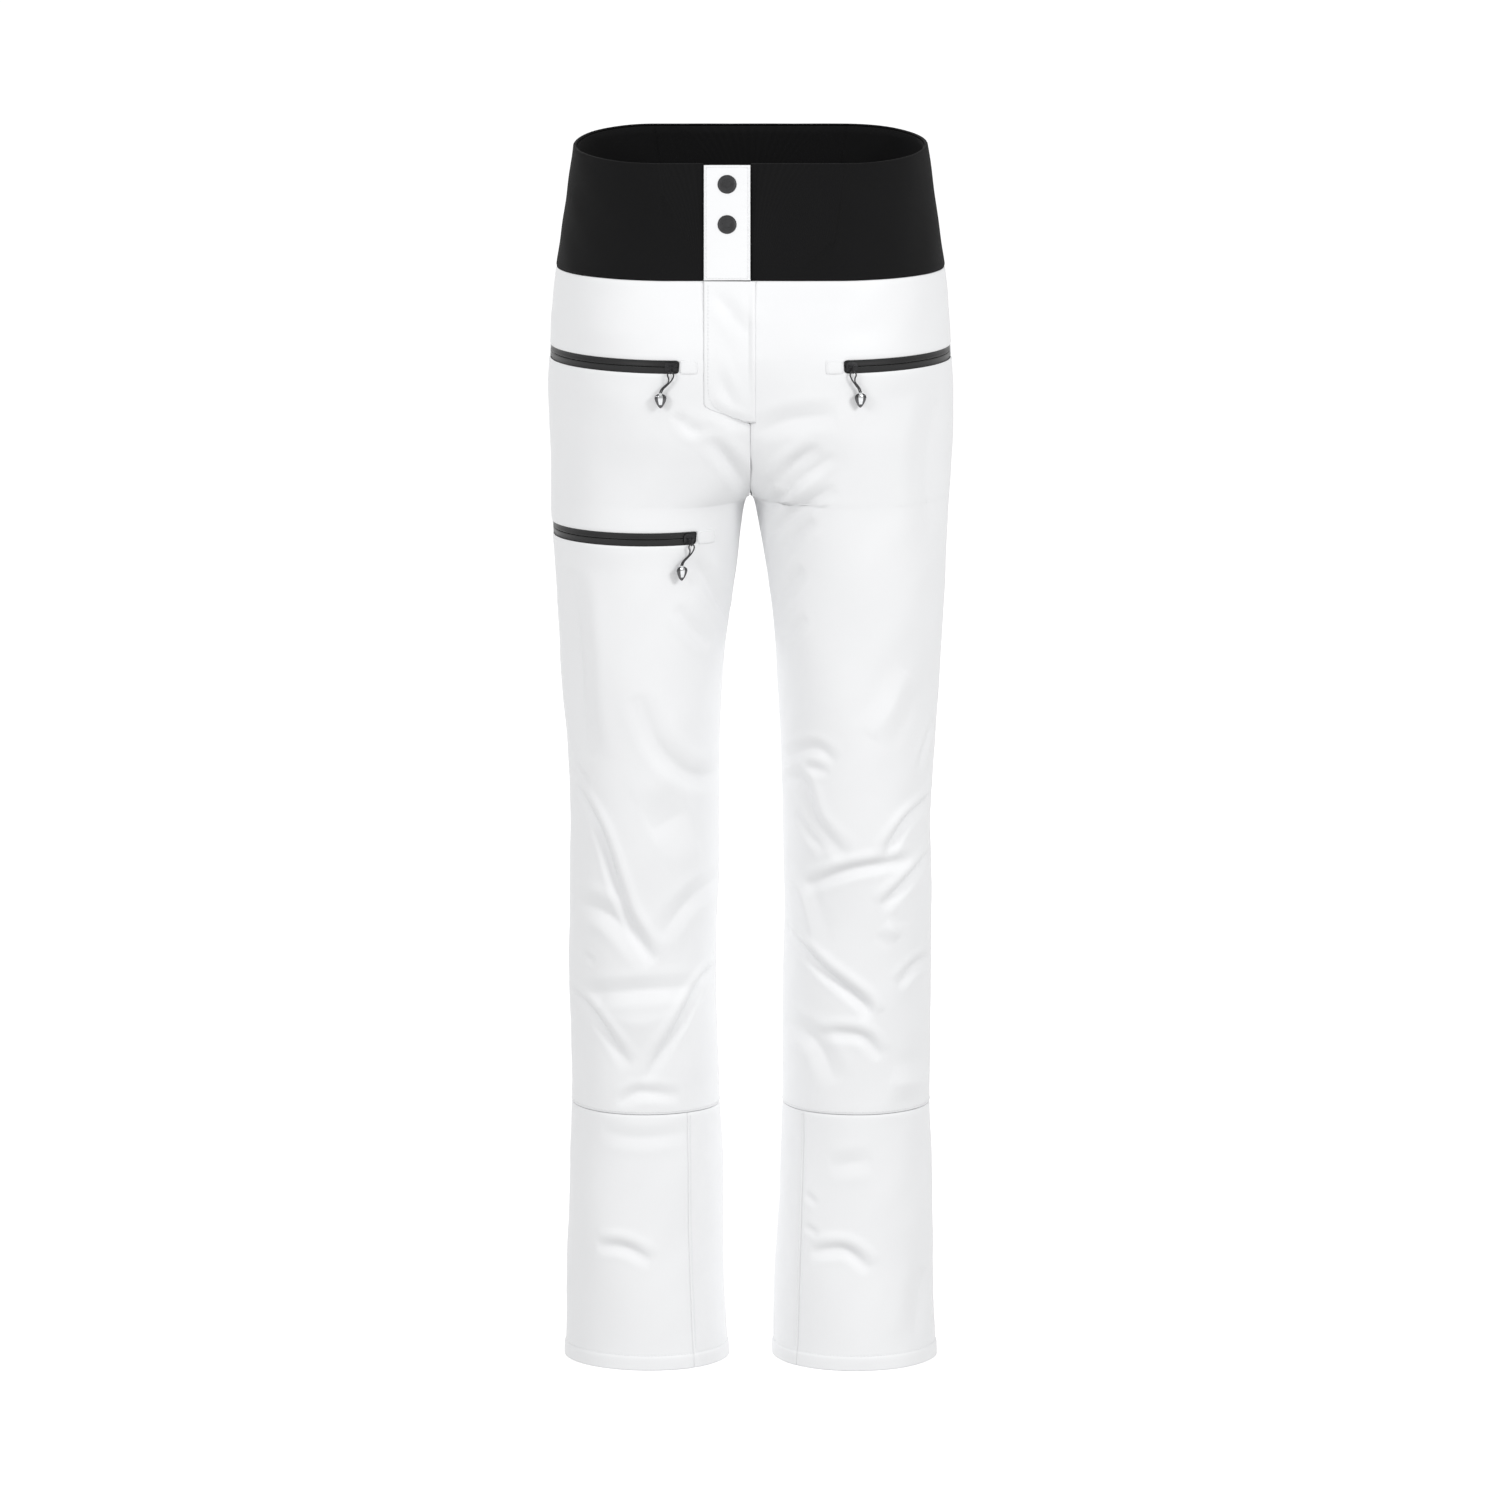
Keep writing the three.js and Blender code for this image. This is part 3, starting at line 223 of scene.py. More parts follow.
cords, routes = {}, {}
for zip_name, fact in ZIPS.items():
    hang = hanging_frame(zip_name)
    route = [hang @ Vector((x, 0, z)) for x, z in loop_points(fact["leg"] * fact["lean"])]
    routes[zip_name] = route
    curve = bpy.data.curves.new(f"{zip_name}_cord", "CURVE")
    curve.dimensions, curve.bevel_depth, curve.bevel_resolution, curve.resolution_u = "3D", CORD_R, 4, 8
    spline = curve.splines.new("BEZIER")
    spline.bezier_points.add(len(route) - 1)
    for knot, at in zip(spline.bezier_points, route):
        knot.co, knot.handle_left_type, knot.handle_right_type = at, "AUTO", "AUTO"
    curve.use_fill_caps = True
    cords[zip_name] = bpy.data.objects.new(f"{zip_name}_cord", curve)
    place(cords[zip_name], f"{zip_name}_pull", "cord", cord_finish, f"{zip_name}_pull_cord")

# ---------------------------------------------------------------- Floor and light
# A white floor that runs on out of view, under an even white sky. Two soft lamps stand in front, to either
# side, and one behind. A pair of dim strips between the legs keeps their inner sides as bright as the
# front.

FLOOR_Z = HEM_Z - 0.0005
FLOOR_HALF = 40
FLOOR_GLOW = 0.40
SKY = 0.72
floor_mesh = bpy.data.meshes.new("floor")
corners = [(x * FLOOR_HALF, y * FLOOR_HALF, FLOOR_Z) for x, y in ((-1, -1), (1, -1), (1, 1), (-1, 1))]
floor_mesh.from_pydata(corners, [], [(0, 1, 2, 3)])
floor = bpy.data.objects.new("floor", floor_mesh)
bpy.context.scene.collection.objects.link(floor)


def pale(paint):
    shade = mottle(paint, 1.5, 2.0)
    return {"Base Color": tint(paint, shade, (0.90, 0.90, 0.90), (0.92, 0.92, 0.92))}


glow = {"Emission_Color": (1, 1, 1, 1), "Emission_Strength": FLOOR_GLOW}
floor_finish = finish("pale_floor", pale, Roughness=0.9, **glow)
floor_mesh.materials.append(floor_finish)
floor.visible_diffuse = False  # the legs are lit by the sky and the lamps alone

world = bpy.data.worlds.new("sky")
world.use_nodes = True
world.node_tree.nodes["Background"].inputs["Color"].default_value = (1, 1, 1, 1)
world.node_tree.nodes["Background"].inputs["Strength"].default_value = SKY
bpy.context.scene.world = world


def soft_light(name, at, size, power):
    data = bpy.data.lights.new(name, "AREA")
    data.shape, data.size, data.energy = "DISK", size, power
    lamp = bpy.data.objects.new(name, data)
    lamp.location = at
    lamp.rotation_euler = (target - Vector(at)).to_track_quat("-Z", "Y").to_euler()
    bpy.context.scene.collection.objects.link(lamp)


soft_light("key", (3.0, -3.3, 1.9), 1.4, 92)
soft_light("fill", (-2.8, -3.4, 1.5), 1.4, 60)
soft_light("behind", (-1.4, 4.2, 1.9), 1.6, 46)
STRIP_LENGTH, STRIP_WIDTH, STRIP_POWER = 0.66, 0.10, 0.036
for side in (-1, 1):
    strip = bpy.data.lights.new("strip", "AREA")
    strip.shape, strip.size, strip.size_y, strip.energy = "RECTANGLE", STRIP_LENGTH, STRIP_WIDTH, STRIP_POWER
    lamp = bpy.data.objects.new("strip", strip)
    lamp.location, lamp.rotation_euler = (0, 0, HEM_Z + STRIP_LENGTH / 2), (0, -side * math.pi / 2, 0)
    lamp.visible_camera = False
    bpy.context.scene.collection.objects.link(lamp)
bpy.context.scene.view_settings.view_transform = "Standard"
bpy.context.scene.view_settings.look = "None"

# ---------------------------------------------------------------- Shell panels
# The shell is a white, densely woven polyester with a membrane behind it, sewn from a front and a back
# panel for each leg. It is padded and filled out by the body, and it breaks into folds at the crotch, the
# knees and over the boots.

CROTCH = 0.800
CROTCH_ROUND, CROTCH_FADE = 0.045, 0.060  # how far the crotch reaches down, and its shape up
WAIST_SEAM = 1.007
CUFF_SEAM = 0.236
SEAM_GAP = 0.0003
SHELL = 0.0012
SIDE_SEAM = math.radians(188)
STATION_COLUMNS = ("side", "axis", "centre", "front", "back", "gap")
# At each height: half width, axis of the widest point, leg's middle, depth in front and behind, gap at the
# inside.
STATIONS = {
    0.000: (0.1704, 0.0954, 0.008, 0.0760, 0.078, 0.0205),
    0.120: (0.1672, 0.0960, 0.009, 0.0710, 0.075, 0.0248),
    0.240: (0.1648, 0.0965, 0.009, 0.0680, 0.074, 0.0282),
    0.400: (0.1647, 0.0974, 0.002, 0.0700, 0.074, 0.0300),
    0.500: (0.1654, 0.0973, -0.004, 0.0740, 0.075, 0.0292),
    0.600: (0.1692, 0.0978, -0.006, 0.0780, 0.083, 0.0264),
    0.700: (0.1742, 0.0960, -0.008, 0.0820, 0.092, 0.0178),
    0.771: (0.1800, 0.0940, -0.008, 0.0860, 0.098, 0.0086),
    0.800: (0.1816, 0.0906, -0.006, 0.0910, 0.108, 0.0080),
    0.835: (0.1826, 0.0840, -0.002, 0.1010, 0.118, 0.0080),
    0.870: (0.1832, 0.0740, 0.000, 0.1110, 0.122, 0.0080),
    0.930: (0.1818, 0.0630, 0.000, 0.1188, 0.119, 0.0080),
    0.970: (0.1784, 0.0650, 0.000, 0.1140, 0.110, 0.0080),
    1.007: (0.1756, 0.0706, 0.000, 0.1050, 0.101, 0.0080),
    1.060: (0.1680, 0.0770, 0.000, 0.0909, 0.088, 0.0080),
    1.130: (0.1580, 0.0858, 0.000, 0.0722, 0.077, 0.0080),
}
station_heights = np.array(list(STATIONS))
station_sizes = dict(zip(STATION_COLUMNS, np.array(list(STATIONS.values())).T))


def along(key, height):
    """A smooth curve through one column of the stations."""
    z, v = station_heights, station_sizes[key]
    i = np.clip(np.searchsorted(z, height, side="right") - 1, 0, len(z) - 2)
    up, down = np.minimum(np.arange(len(z)) + 1, len(z) - 1), np.maximum(np.arange(len(z)) - 1, 0)
    slope = (v[up] - v[down]) / (z[up] - z[down])
    step = z[i + 1] - z[i]
    t = np.clip((height - z[i]) / step, 0, 1)
    bend = step * t * (1 - t) * (slope[i] * (1 - t) - slope[i + 1] * t)
    return v[i] * (1 + 2 * t) * (1 - t) ** 2 + v[i + 1] * t * t * (3 - 2 * t) + bend


def section(height):
    s = {key: along(key, height) for key in STATION_COLUMNS}
    down = np.clip((CROTCH - height) / CROTCH_ROUND, 0, 1)
    inside = np.maximum(s["gap"] * np.sqrt(down * (2 - down)), SEAM_GAP / 2)
    s["inner"] = (s["axis"] - inside) / np.exp(-np.maximum(height - CROTCH, 0) / CROTCH_FADE)
    s["outer"] = s["side"] - s["axis"]
    s["start"] = np.arccos(np.minimum((s["axis"] - inside) / s["inner"], 1))
    return s


def skin(leg, angle, height):
    """The body's surface: the angle runs round a leg from its inside (0) by front, side and back."""
    s = section(height)
    across, out = np.cos(angle), np.sin(angle)
    x = leg * (s["axis"] - across * np.where(across > 0, s["inner"], s["outer"]))
    y = s["centre"] - out * np.where(out > 0, s["front"], s["back"])
    return np.stack(np.broadcast_arrays(x, y, HEM_Z + height), axis=-1)


def front_angle(height, x):
    """The angle at which the front of one half lies x from the centre plane."""
    s = section(height)
    return np.arccos(np.clip((s["axis"] - x) / np.where(x < s["axis"], s["inner"], s["outer"]), -1, 1))


def outward(leg, angle, height):
    """Straight off the cloth, level."""
    s = section(height)
    across, out = np.cos(angle), np.sin(angle)
    wide = np.where(across > 0, s["inner"], s["outer"])
    deep = np.where(out > 0, s["front"], s["back"])
    way = np.stack(np.broadcast_arrays(-leg * across / wide, -out / deep, 0 * height), axis=-1)
    from_middle = s["axis"] - across * np.where(across > 0, s["inner"], s["outer"])
    at_middle = smooth(0.025, 0.0, from_middle) * smooth(CROTCH, CROTCH + 0.012, height)
    way[..., 0] *= 1 - at_middle  # so that the two halves stay edge to edge where they are sewn together
    return way / np.linalg.norm(way, axis=-1, keepdims=True)


def through(points, steps=8):
    """A smooth line through points."""
    p = np.array(points, float)
    slope = np.gradient(p, axis=0)
    t = np.linspace(0, 1, steps, endpoint=False)[:, None]
    runs = [
        p[i] * (1 + 2 * t) * (1 - t) ** 2
        + p[i + 1] * t * t * (3 - 2 * t)
        + t * (1 - t) * (slope[i] * (1 - t) - slope[i + 1] * t)
        for i in range(len(p) - 1)
    ]
    return np.vstack([*runs, p[-1:]])


def on_front(points, behind=False):
    """Points given as millimetres across and up, laid on the front of the body or on its back."""
    x, height = through(points).T / 1000
    angle = front_angle(height, abs(x))
    return skin(np.where(x < 0, -1, 1), 2 * math.pi - angle if behind else angle, height)


def nearest(places, line):
    """Distance from places to a line, how far along it that is (0 to 1), and the steps to and along it."""
    gap, part = np.full(len(places), np.inf), np.zeros(len(places))
    off, run = np.zeros_like(places), np.zeros_like(places)
    for k, (a, b) in enumerate(zip(line[:-1], line[1:])):
        t = np.clip((places - a) @ (b - a) / ((b - a) @ (b - a)), 0, 1)
        step = places - a - t[:, None] * (b - a)
        size = np.linalg.norm(step, axis=1)
        closer = size < gap
        part[closer] = ((k + t) / (len(line) - 1))[closer]
        gap[closer], off[closer], run[closer] = size[closer], step[closer], b - a
    return gap, part, off, run


# Folds, each as (points across and up in mm, half width, height off the cloth, and lean: 1 lifts its left
# bank and drops its right one). A hollow has a negative height. Folds belong to one half, or to both where
# they cross the fly.
FLY_FOLDS = [
    (((-35, 1002), (-18, 980), (-1, 958)), 6, -1.6, 0),
    (((-35, 939), (-25, 916), (-14, 892)), 5, -1.6, 0),
    (((-38, 897), (-20, 884), (0, 876)), 5, -1.6, 0),
    (((14, 1000), (13, 980), (6, 939)), 10, -1.6, 0),
]
RIGHT_FOLDS = [
    (((-64, 888), (-55, 876), (-43, 869)), 5, -2, 0),
    (((-35, 866), (-18, 843), (-2, 814)), 6, -3.4, 0.6),
    (((-161, 739), (-157, 675), (-155, 619), (-147, 564)), 13, -4, 0),
    (((-55, 758), (-35, 726), (-18, 684)), 7, -3, 0),
    (((-66, 709), (-50, 687), (-35, 669)), 6, -2, 0),
    (((-100, 629), (-82, 582), (-55, 554), (-29, 547)), 8, -2.5, 0.7),
    (((-91, 501), (-55, 520)), 18, -2.8, 0),
    (((-160, 557), (-146, 540)), 4, -1.5, 0),
    (((-157, 538), (-136, 500), (-112, 427), (-86, 379)), 5, -3.8, 0.8),
    (((-158, 431), (-127, 421), (-86, 379)), 8, -3, 0),
    (((-151, 381), (-141, 376)), 3, -1.5, 0),
    (((-29, 448), (-55, 434), (-82, 401)), 8, -2.4, 0),
    (((-162, 344), (-100, 353), (-47, 354)), 7, -2.2, 0),
    (((-164, 344), (-144, 329), (-109, 282)), 5, -3, 0.8),
    (((-31, 366), (-49, 349), (-98, 267)), 5, -3.5, -0.8),
    (((-136, 330), (-100, 322), (-64, 335)), 16, 2.2, 0),
    (((-121, 246), (-100, 257), (-64, 253)), 5, -2.5, 0),
    (((-139, 114), (-114, 114), (-89, 101)), 5, -2.8, 0.7),
    (((-136, 218), (-100, 215), (-56, 218)), 6, -1.3, 0),
]
LEFT_FOLDS = [
    (((6, 870), (36, 883), (77, 888)), 8, -2, 0),
    (((23, 818), (38, 841), (59, 859)), 6, -4, 0.7),
    (((12, 787), (41, 824), (73, 850)), 5, -3, 0),
    (((14, 768), (41, 797), (73, 821)), 6, -3, 0.7),
    (((16, 743), (36, 770), (56, 789)), 6, -2.5, 0),
    (((21, 705), (35, 728), (46, 743)), 6, -2, 0),
    (((27, 670), (39, 685), (50, 698)), 5, -1.5, 0),
    (((168, 896), (159, 824), (166, 748)), 15, -2.5, 0),
    (((109, 589), (126, 612), (142, 647)), 10, 2, 0),
    (((166, 596), (153, 552)), 5, -2, 0),
    (((30, 560), (46, 573), (62, 577), (77, 565)), 5, -2.2, 0),
    (((48, 559), (71, 557)), 4, -1.5, 0),
    (((30, 543), (48, 545), (59, 510), (89, 477)), 6, -2.6, 0.6),
    (((41, 514), (53, 496), (67, 481)), 5, -2, 0),
    (((167, 527), (141, 509), (119, 478)), 5, -4, -0.8),
    (((48, 448), (91, 467), (144, 475)), 5, -3.6, 0.8),
    (((163, 474), (141, 453), (117, 431)), 5, -3.6, -0.8),
    (((121, 414), (134, 401)), 6, 2, 0),
    (((30, 404), (64, 374), (102, 343), (110, 328)), 5, -4, 0.8),
    (((31, 455), (46, 437), (59, 388)), 8, 2, 0),
    (((165, 374), (150, 371), (133, 354)), 5, -3, 0),
    (((62, 313), (100, 311), (120, 290)), 5, -3, 0.7),
    (((32, 316), (59, 304), (78, 266)), 8, -2.5, 0),
    (((126, 264), (164, 260)), 10, 2, 0),
    (((55, 108), (86, 112), (111, 93)), 5, -3.2, 0.8),
    (((49, 160), (60, 151)), 3, -1.2, 0),
    (((49, 130), (61, 123)), 3, -1.2, 0),
    (((160, 87), (150, 23)), 12, -2.5, 0),
    (((71, 188), (111, 194)), 7, -1.4, 0),
]
BACK_FOLDS = [  # across is given for the left half, and the right half mirrors it
    (((8, 812), (38, 792), (82, 786), (130, 796)), 8, -4.5, 0.7),
    (((14, 778), (52, 752), (96, 742)), 8, -2.6, 0.5),
    (((20, 846), (52, 826), (92, 822)), 10, -2, 0),
    (((26, 700), (58, 676), (92, 668)), 9, -2, 0),
    (((40, 556), (92, 540), (150, 548)), 7, -3, 0.6),
    (((34, 506), (84, 494), (140, 512)), 6, -3.8, 0.8),
    (((160, 486), (118, 466), (70, 468)), 6, -3.2, -0.7),
    (((36, 440), (82, 428), (132, 438)), 7, -3, 0.6),
    (((150, 400), (108, 382), (60, 392)), 8, -2.4, 0),
    (((44, 330), (90, 318), (128, 330)), 9, -2, 0.4),
    (((48, 128), (92, 112), (140, 122)), 7, -2.6, 0.6),
    (((150, 74), (108, 62), (70, 70)), 8, -1.8, 0),
]


def laid(folds, behind=False, mirror=1):
    """The folds with their lines on the body, in metres."""
    made = []
    for points, width, height, lean in folds:
        line = on_front(np.array(points) * (mirror, 1), behind)
        made.append((line, width / 1000, height / 1000, lean * mirror))
    return made


GARAGE_LENGTH = 0.016


def slot_end_x(fact):
    """How far from the centre plane a zip's slot ends, at its inner end."""
    s = section(fact["height"])
    return s["axis"] + s["outer"] * math.sin(math.radians(fact["inner"]))


def zip_line(fact):
    """The stretch of cloth along a zip and its garage, which lies smooth."""
    turns = np.radians(np.linspace(90 + fact["inner"], 90 + fact["outer"], 12))
    past_end = front_angle(fact["height"], slot_end_x(fact) - GARAGE_LENGTH)
    return skin(fact["leg"], np.array([past_end, *turns]), fact["height"])


folds_of = {
    -1: laid(FLY_FOLDS) + laid(RIGHT_FOLDS) + laid(BACK_FOLDS, True, -1),
    1: laid(FLY_FOLDS) + laid(LEFT_FOLDS) + laid(BACK_FOLDS, True),
}
smooth_lines = {leg: [zip_line(fact) for fact in ZIPS.values() if fact["leg"] == leg] for leg in (-1, 1)}
SMOOTH_FROM, SMOOTH_TO, SMOOTH_SEARCH = 0.009, 0.034, 0.04  # distances from such a line
FOLD_GAIN, FOLD_LEAN, FOLD_SEARCH = 1.4, 0.9, 3.2
SEAM_HOLD = 0.022  # how far from the waist seam the cloth is held flat
LUMPS = [  # the wadding's waves, in radians per metre, and their heights in millimetres
    ((31, 17, 24), 0.9),
    ((-22, 41, 19), 0.6),
    ((57, -38, 44), 0.35),
    ((88, 71, -69), 0.2),
    ((-160, 120, 140), 0.08),
]


def lift(leg, place, way):
    """How far the cloth stands off the body at each place, by its folds and the unevenness of its wadding."""
    flat, ways = place.reshape(-1, 3), way.reshape(-1, 3)
    rise = sum(size * np.sin(flat @ wave + leg + i) for i, (wave, size) in enumerate(LUMPS)) / 1000
    for line, width, height, lean in folds_of[leg]:
        reach = FOLD_SEARCH * width
        near = np.all((flat > line.min(0) - reach) & (flat < line.max(0) + reach), axis=1)
        if near.any():
            gap, part, off, run = nearest(flat[near], line)
            side = np.sign(np.einsum("ij,ij->i", np.cross(ways[near], run), off))
            far = gap / width
            taper = np.sin(math.pi * part) ** 0.6
            bottom = np.exp(-(far**1.3)) - 0.3 * np.exp(-(((far - 2) / 0.8) ** 2))
            bank = FOLD_LEAN * lean * side * far * np.exp(-((far / 1.5) ** 2))
            rise[near] += FOLD_GAIN * height * taper * (bottom - bank)
    for line in smooth_lines[leg]:
        near = np.all((flat > line.min(0) - SMOOTH_SEARCH) & (flat < line.max(0) + SMOOTH_SEARCH), axis=1)
        if near.any():
            rise[near] *= smooth(SMOOTH_FROM, SMOOTH_TO, nearest(flat[near], line)[0])
    rise *= smooth(0, SEAM_HOLD, abs(flat[:, 2] - HEM_Z - WAIST_SEAM)) * 0.85 + 0.15
    return rise.reshape(place.shape[:-1])


def cloth(leg, angle, height, depth=0.0):
    """A place on the worn cloth, or at a depth under it."""
    place, way = skin(leg, angle, height), outward(leg, angle, height)
    return place + way * (lift(leg, place, way) - depth)[..., None]


def along_rows(grid):
    """How far each place of a grid lies along its own row."""
    return np.cumsum(np.linalg.norm(np.diff(grid, axis=1, prepend=grid[:, :1]), axis=2), axis=1)


def sheet_mesh(name, grid, outside, thickness, across, up, keep=None):
    """A cloth mesh from a grid of places (rows up, columns across); keep marks the squares that are there."""
    diagonals = grid[1:, 1:] - grid[:-1, :-1], grid[1:, :-1] - grid[:-1, 1:]
    rows, columns = grid.shape[:2]
    first = np.arange(rows * columns).reshape(rows, columns)[:-1, :-1]
    squares = np.stack([first, first + 1, first + columns + 1, first + columns], axis=-1)
    r, c = rows // 2, columns // 2
    facing = np.cross(grid[r, c + 1] - grid[r, c], grid[r + 1, c] - grid[r, c])
    if facing @ outside[r, c] < 0:
        squares = squares[..., ::-1]
    squares = squares[keep] if keep is not None else squares.reshape(-1, 4)
    used, squares = np.unique(squares, return_inverse=True)
    squares = squares.reshape(-1, 4)
    mesh = bpy.data.meshes.new(name)
    mesh.from_pydata(grid.reshape(-1, 3)[used].tolist(), [], squares.tolist())
    mesh.polygons.foreach_set("use_smooth", np.ones(len(squares), bool))
    flat = np.stack(np.broadcast_arrays(across, up), axis=-1).reshape(-1, 2)[used]
    corner = np.zeros(len(mesh.loops), np.int32)
    mesh.loops.foreach_get("vertex_index", corner)
    mesh.uv_layers.new(name="cloth").data.foreach_set("uv", flat[corner].astype(np.float32).ravel())
    made = bpy.data.objects.new(name, mesh)
    ply = made.modifiers.new("ply", "SOLIDIFY")
    ply.thickness, ply.offset, ply.use_even_offset = thickness, -1, False
    return made


def spread(low, high, pitch, rim=()):
    """Even steps from low to high, with extra ones at the given distances from both ends."""
    steps = max(int(round((high - low) / pitch)), 2)
    inner = np.linspace(low, high, steps + 1)
    clear = 1.4 * max(rim, default=0)
    keep = inner[(inner > low + clear) & (inner < high - clear)]
    return np.array([low, *(low + r for r in rim), *keep, *(high - r for r in reversed(rim)), high])


SEAM_ROLL = (0.0006, 0.0014, 0.0024)  # rows that turn under at a seam
SEAM_DIP, SEAM_DIP_WIDTH = 0.0008, 0.0013
LIP_DIP, LIP_WIDTH = 0.0007, 0.0009  # at a slot's edge
SLOT_EASE = 0.006, 0.030  # how far from a slot the columns bend to meet its ends
SLOT_EASE_COLUMNS = 9
MESH_PITCH = 0.0026
PANEL_AROUND = 0.28  # about how far a shell panel reaches round its leg


def panel(name, leg, rows, left, right, open_edges=(), thickness=SHELL, depth=0.0, share=1.0, slots=(),
          around=PANEL_AROUND):
    """A sewn panel. left and right give the angle of its edges at a height. Its edges turn under at their
    seams, apart from the open edges, and each zip slot is cut out between two rows and from one column on."""
    columns = spread(0, 1, MESH_PITCH / around, [r / around for r in SEAM_ROLL])
    height = rows[:, None]
    low, high = left(height), right(height)
    angle = low + columns * (high - low)
    keep = np.ones((len(rows) - 1, len(columns) - 1), bool)
    for slot in slots:
        ends, first, last = slot_ends(slot, rows), *slot_columns(slot, columns, left, right)
        near = 1 - smooth(*SLOT_EASE, abs(rows - slot["height"]))
        for column, end in ((first, ends[0]), (last, ends[1])):
            reach = min(SLOT_EASE_COLUMNS, column, len(columns) - 1 - column)
            hat = smooth(0, 1, 1 - abs(np.arange(len(columns)) - column) / reach)
            angle += (near * (end - angle[:, column]))[:, None] * hat
        inside = abs((rows[1:] + rows[:-1]) / 2 - slot["height"]) < ZIP_SLOT / 2
        keep[np.ix_(inside, np.arange(first, last))] = False
    place, way = skin(leg, angle, height), outward(leg, angle, height)
    across = along_rows(place)
    sides = {
        "left": across,
        "right": across[:, -1:] - across,
        "foot": height - rows[0],
        "top": rows[-1] - height,
    }
    sewn = [gap for side, gap in sides.items() if side not in open_edges]
    dip = sum(SEAM_DIP * np.exp(-((gap / SEAM_DIP_WIDTH) ** 2)) for gap in sewn)
    for slot in slots:
        lip = np.maximum(abs(height - slot["height"]) - ZIP_SLOT / 2, 0)
        past = np.maximum(slot_ends(slot, rows)[0][:, None] - angle, 0) * section(slot["height"])["outer"]
        dip = dip + LIP_DIP * np.exp(-(((lip**2 + past**2) ** 0.5 / LIP_WIDTH) ** 2))
    where = place + way * (share * lift(leg, place, way) - dip - depth)[..., None]
    middle = across[:, -1:] / 2
    return sheet_mesh(name, where, way, thickness, across - middle, height + 0 * across, keep)


ZIP_SLOT = 0.012
SLOT_CORNER = 0.003


def slot_ends(slot, rows):
    """The angles at which a slot begins and ends at each height: it begins with rounded corners."""
    into_corner = np.clip((abs(rows - slot["height"]) - (ZIP_SLOT / 2 - SLOT_CORNER)) / SLOT_CORNER, 0, 1)
    back = SLOT_CORNER * (1 - np.sqrt(1 - into_corner**2)) / section(slot["height"])["outer"]
    return np.radians(90 + slot["inner"]) + back, np.full(len(rows), math.radians(90 + slot["outer"]))


def slot_columns(slot, columns, left, right):
    height = np.array([slot["height"]])
    low, high = left(height)[0], right(height)[0]
    ends = [(math.radians(90 + slot[key]) - low) / (high - low) for key in ("inner", "outer")]
    return [int(np.argmin(abs(columns - end))) for end in ends]


FLY_FOOT, FLY_BEND, FLY_WIDTH = 0.876, 0.897, 0.042
UNDER_FLAP = 0.0016  # how far the right front runs on under the flap
MIDDLE_GAP = 0.00002
ROW_GAP, CROTCH_CLEAR = 0.0008, 0.0012
ZIP_ROWS = np.array([0.001, 0.002, 0.003, 0.0038, 0.0046, 0.0053, 0.006, 0.0066, 0.0076])
shell_rows = spread(CUFF_SEAM + SEAM_GAP / 2, WAIST_SEAM - SEAM_GAP / 2, MESH_PITCH, SEAM_ROLL)
for level in sorted({fact["height"] for fact in ZIPS.values()}, reverse=True):
    shell_rows = shell_rows[abs(shell_rows - level) > ZIP_ROWS[-1] + ROW_GAP]
    shell_rows = np.concatenate([shell_rows, [level], level + ZIP_ROWS, level - ZIP_ROWS])
shell_rows = shell_rows[abs(shell_rows - CROTCH) > CROTCH_CLEAR]
shell_rows = np.sort(np.append(shell_rows, [CROTCH - ROW_GAP, CROTCH, CROTCH + ROW_GAP]))


def fly_reach(height):
    return FLY_WIDTH * smooth(FLY_FOOT, FLY_BEND, height)


def inside_edge(height):
    return np.where(height > CROTCH, front_angle(height, MIDDLE_GAP), section(height)["start"])


def fly_edge(height):
    under_flap = np.maximum(fly_reach(height) - UNDER_FLAP, MIDDLE_GAP)
    return np.where(height > FLY_FOOT, front_angle(height, under_flap), inside_edge(height))


def side_edge(height):
    return SIDE_SEAM + 0 * height


def back_edge(height):
    return 2 * math.pi - inside_edge(height)


def woven(paint):
    """A fine plain weave, faintly uneven in tone, as a dense membrane fabric is."""
    weft, warp = ribs(paint, 420, "X"), ribs(paint, 420, "Y")
    slub = mottle(paint, 900, 2.0)
    broad = mottle(paint, 14, 3.0)
    tone = broad * 0.7 + slub * 0.3
    return {
        "Base Color": tint(paint, tone, (0.765, 0.770, 0.780), (0.815, 0.820, 0.828)),
        "Roughness": broad * 0.12 + 0.46,
        "height": weft * 0.5 + warp * 0.5 + slub * 0.6 + broad * 2.0,
        "depth": 0.00005,
    }


shell_finish = finish("white_shell", woven, Specular_IOR_Level=0.42, Sheen_Weight=0.08, Sheen_Roughness=0.4)
halves = {"right": -1, "left": 1}
for half, leg in halves.items():
    slots = [fact for fact in ZIPS.values() if fact["leg"] == leg]
    front_edge = fly_edge if leg < 0 else inside_edge
    front = panel(f"shell_front_{half}", leg, shell_rows, front_edge, side_edge, slots=slots)
    place(front, "root", "shell_fabric", shell_finish, f"front_panel_{half}")
    back = panel(f"shell_back_{half}", leg, shell_rows, side_edge, back_edge)
    place(back, "root", "shell_fabric", shell_finish, f"back_panel_{half}")

# ---------------------------------------------------------------- Lower legs
# Below a seam at the calf each leg is a tube of the same cloth, made of an outer piece and, on the inside
# of the ankle, a scuff guard that saves the leg from boots and ski edges. Both are folded double at the
# hem.

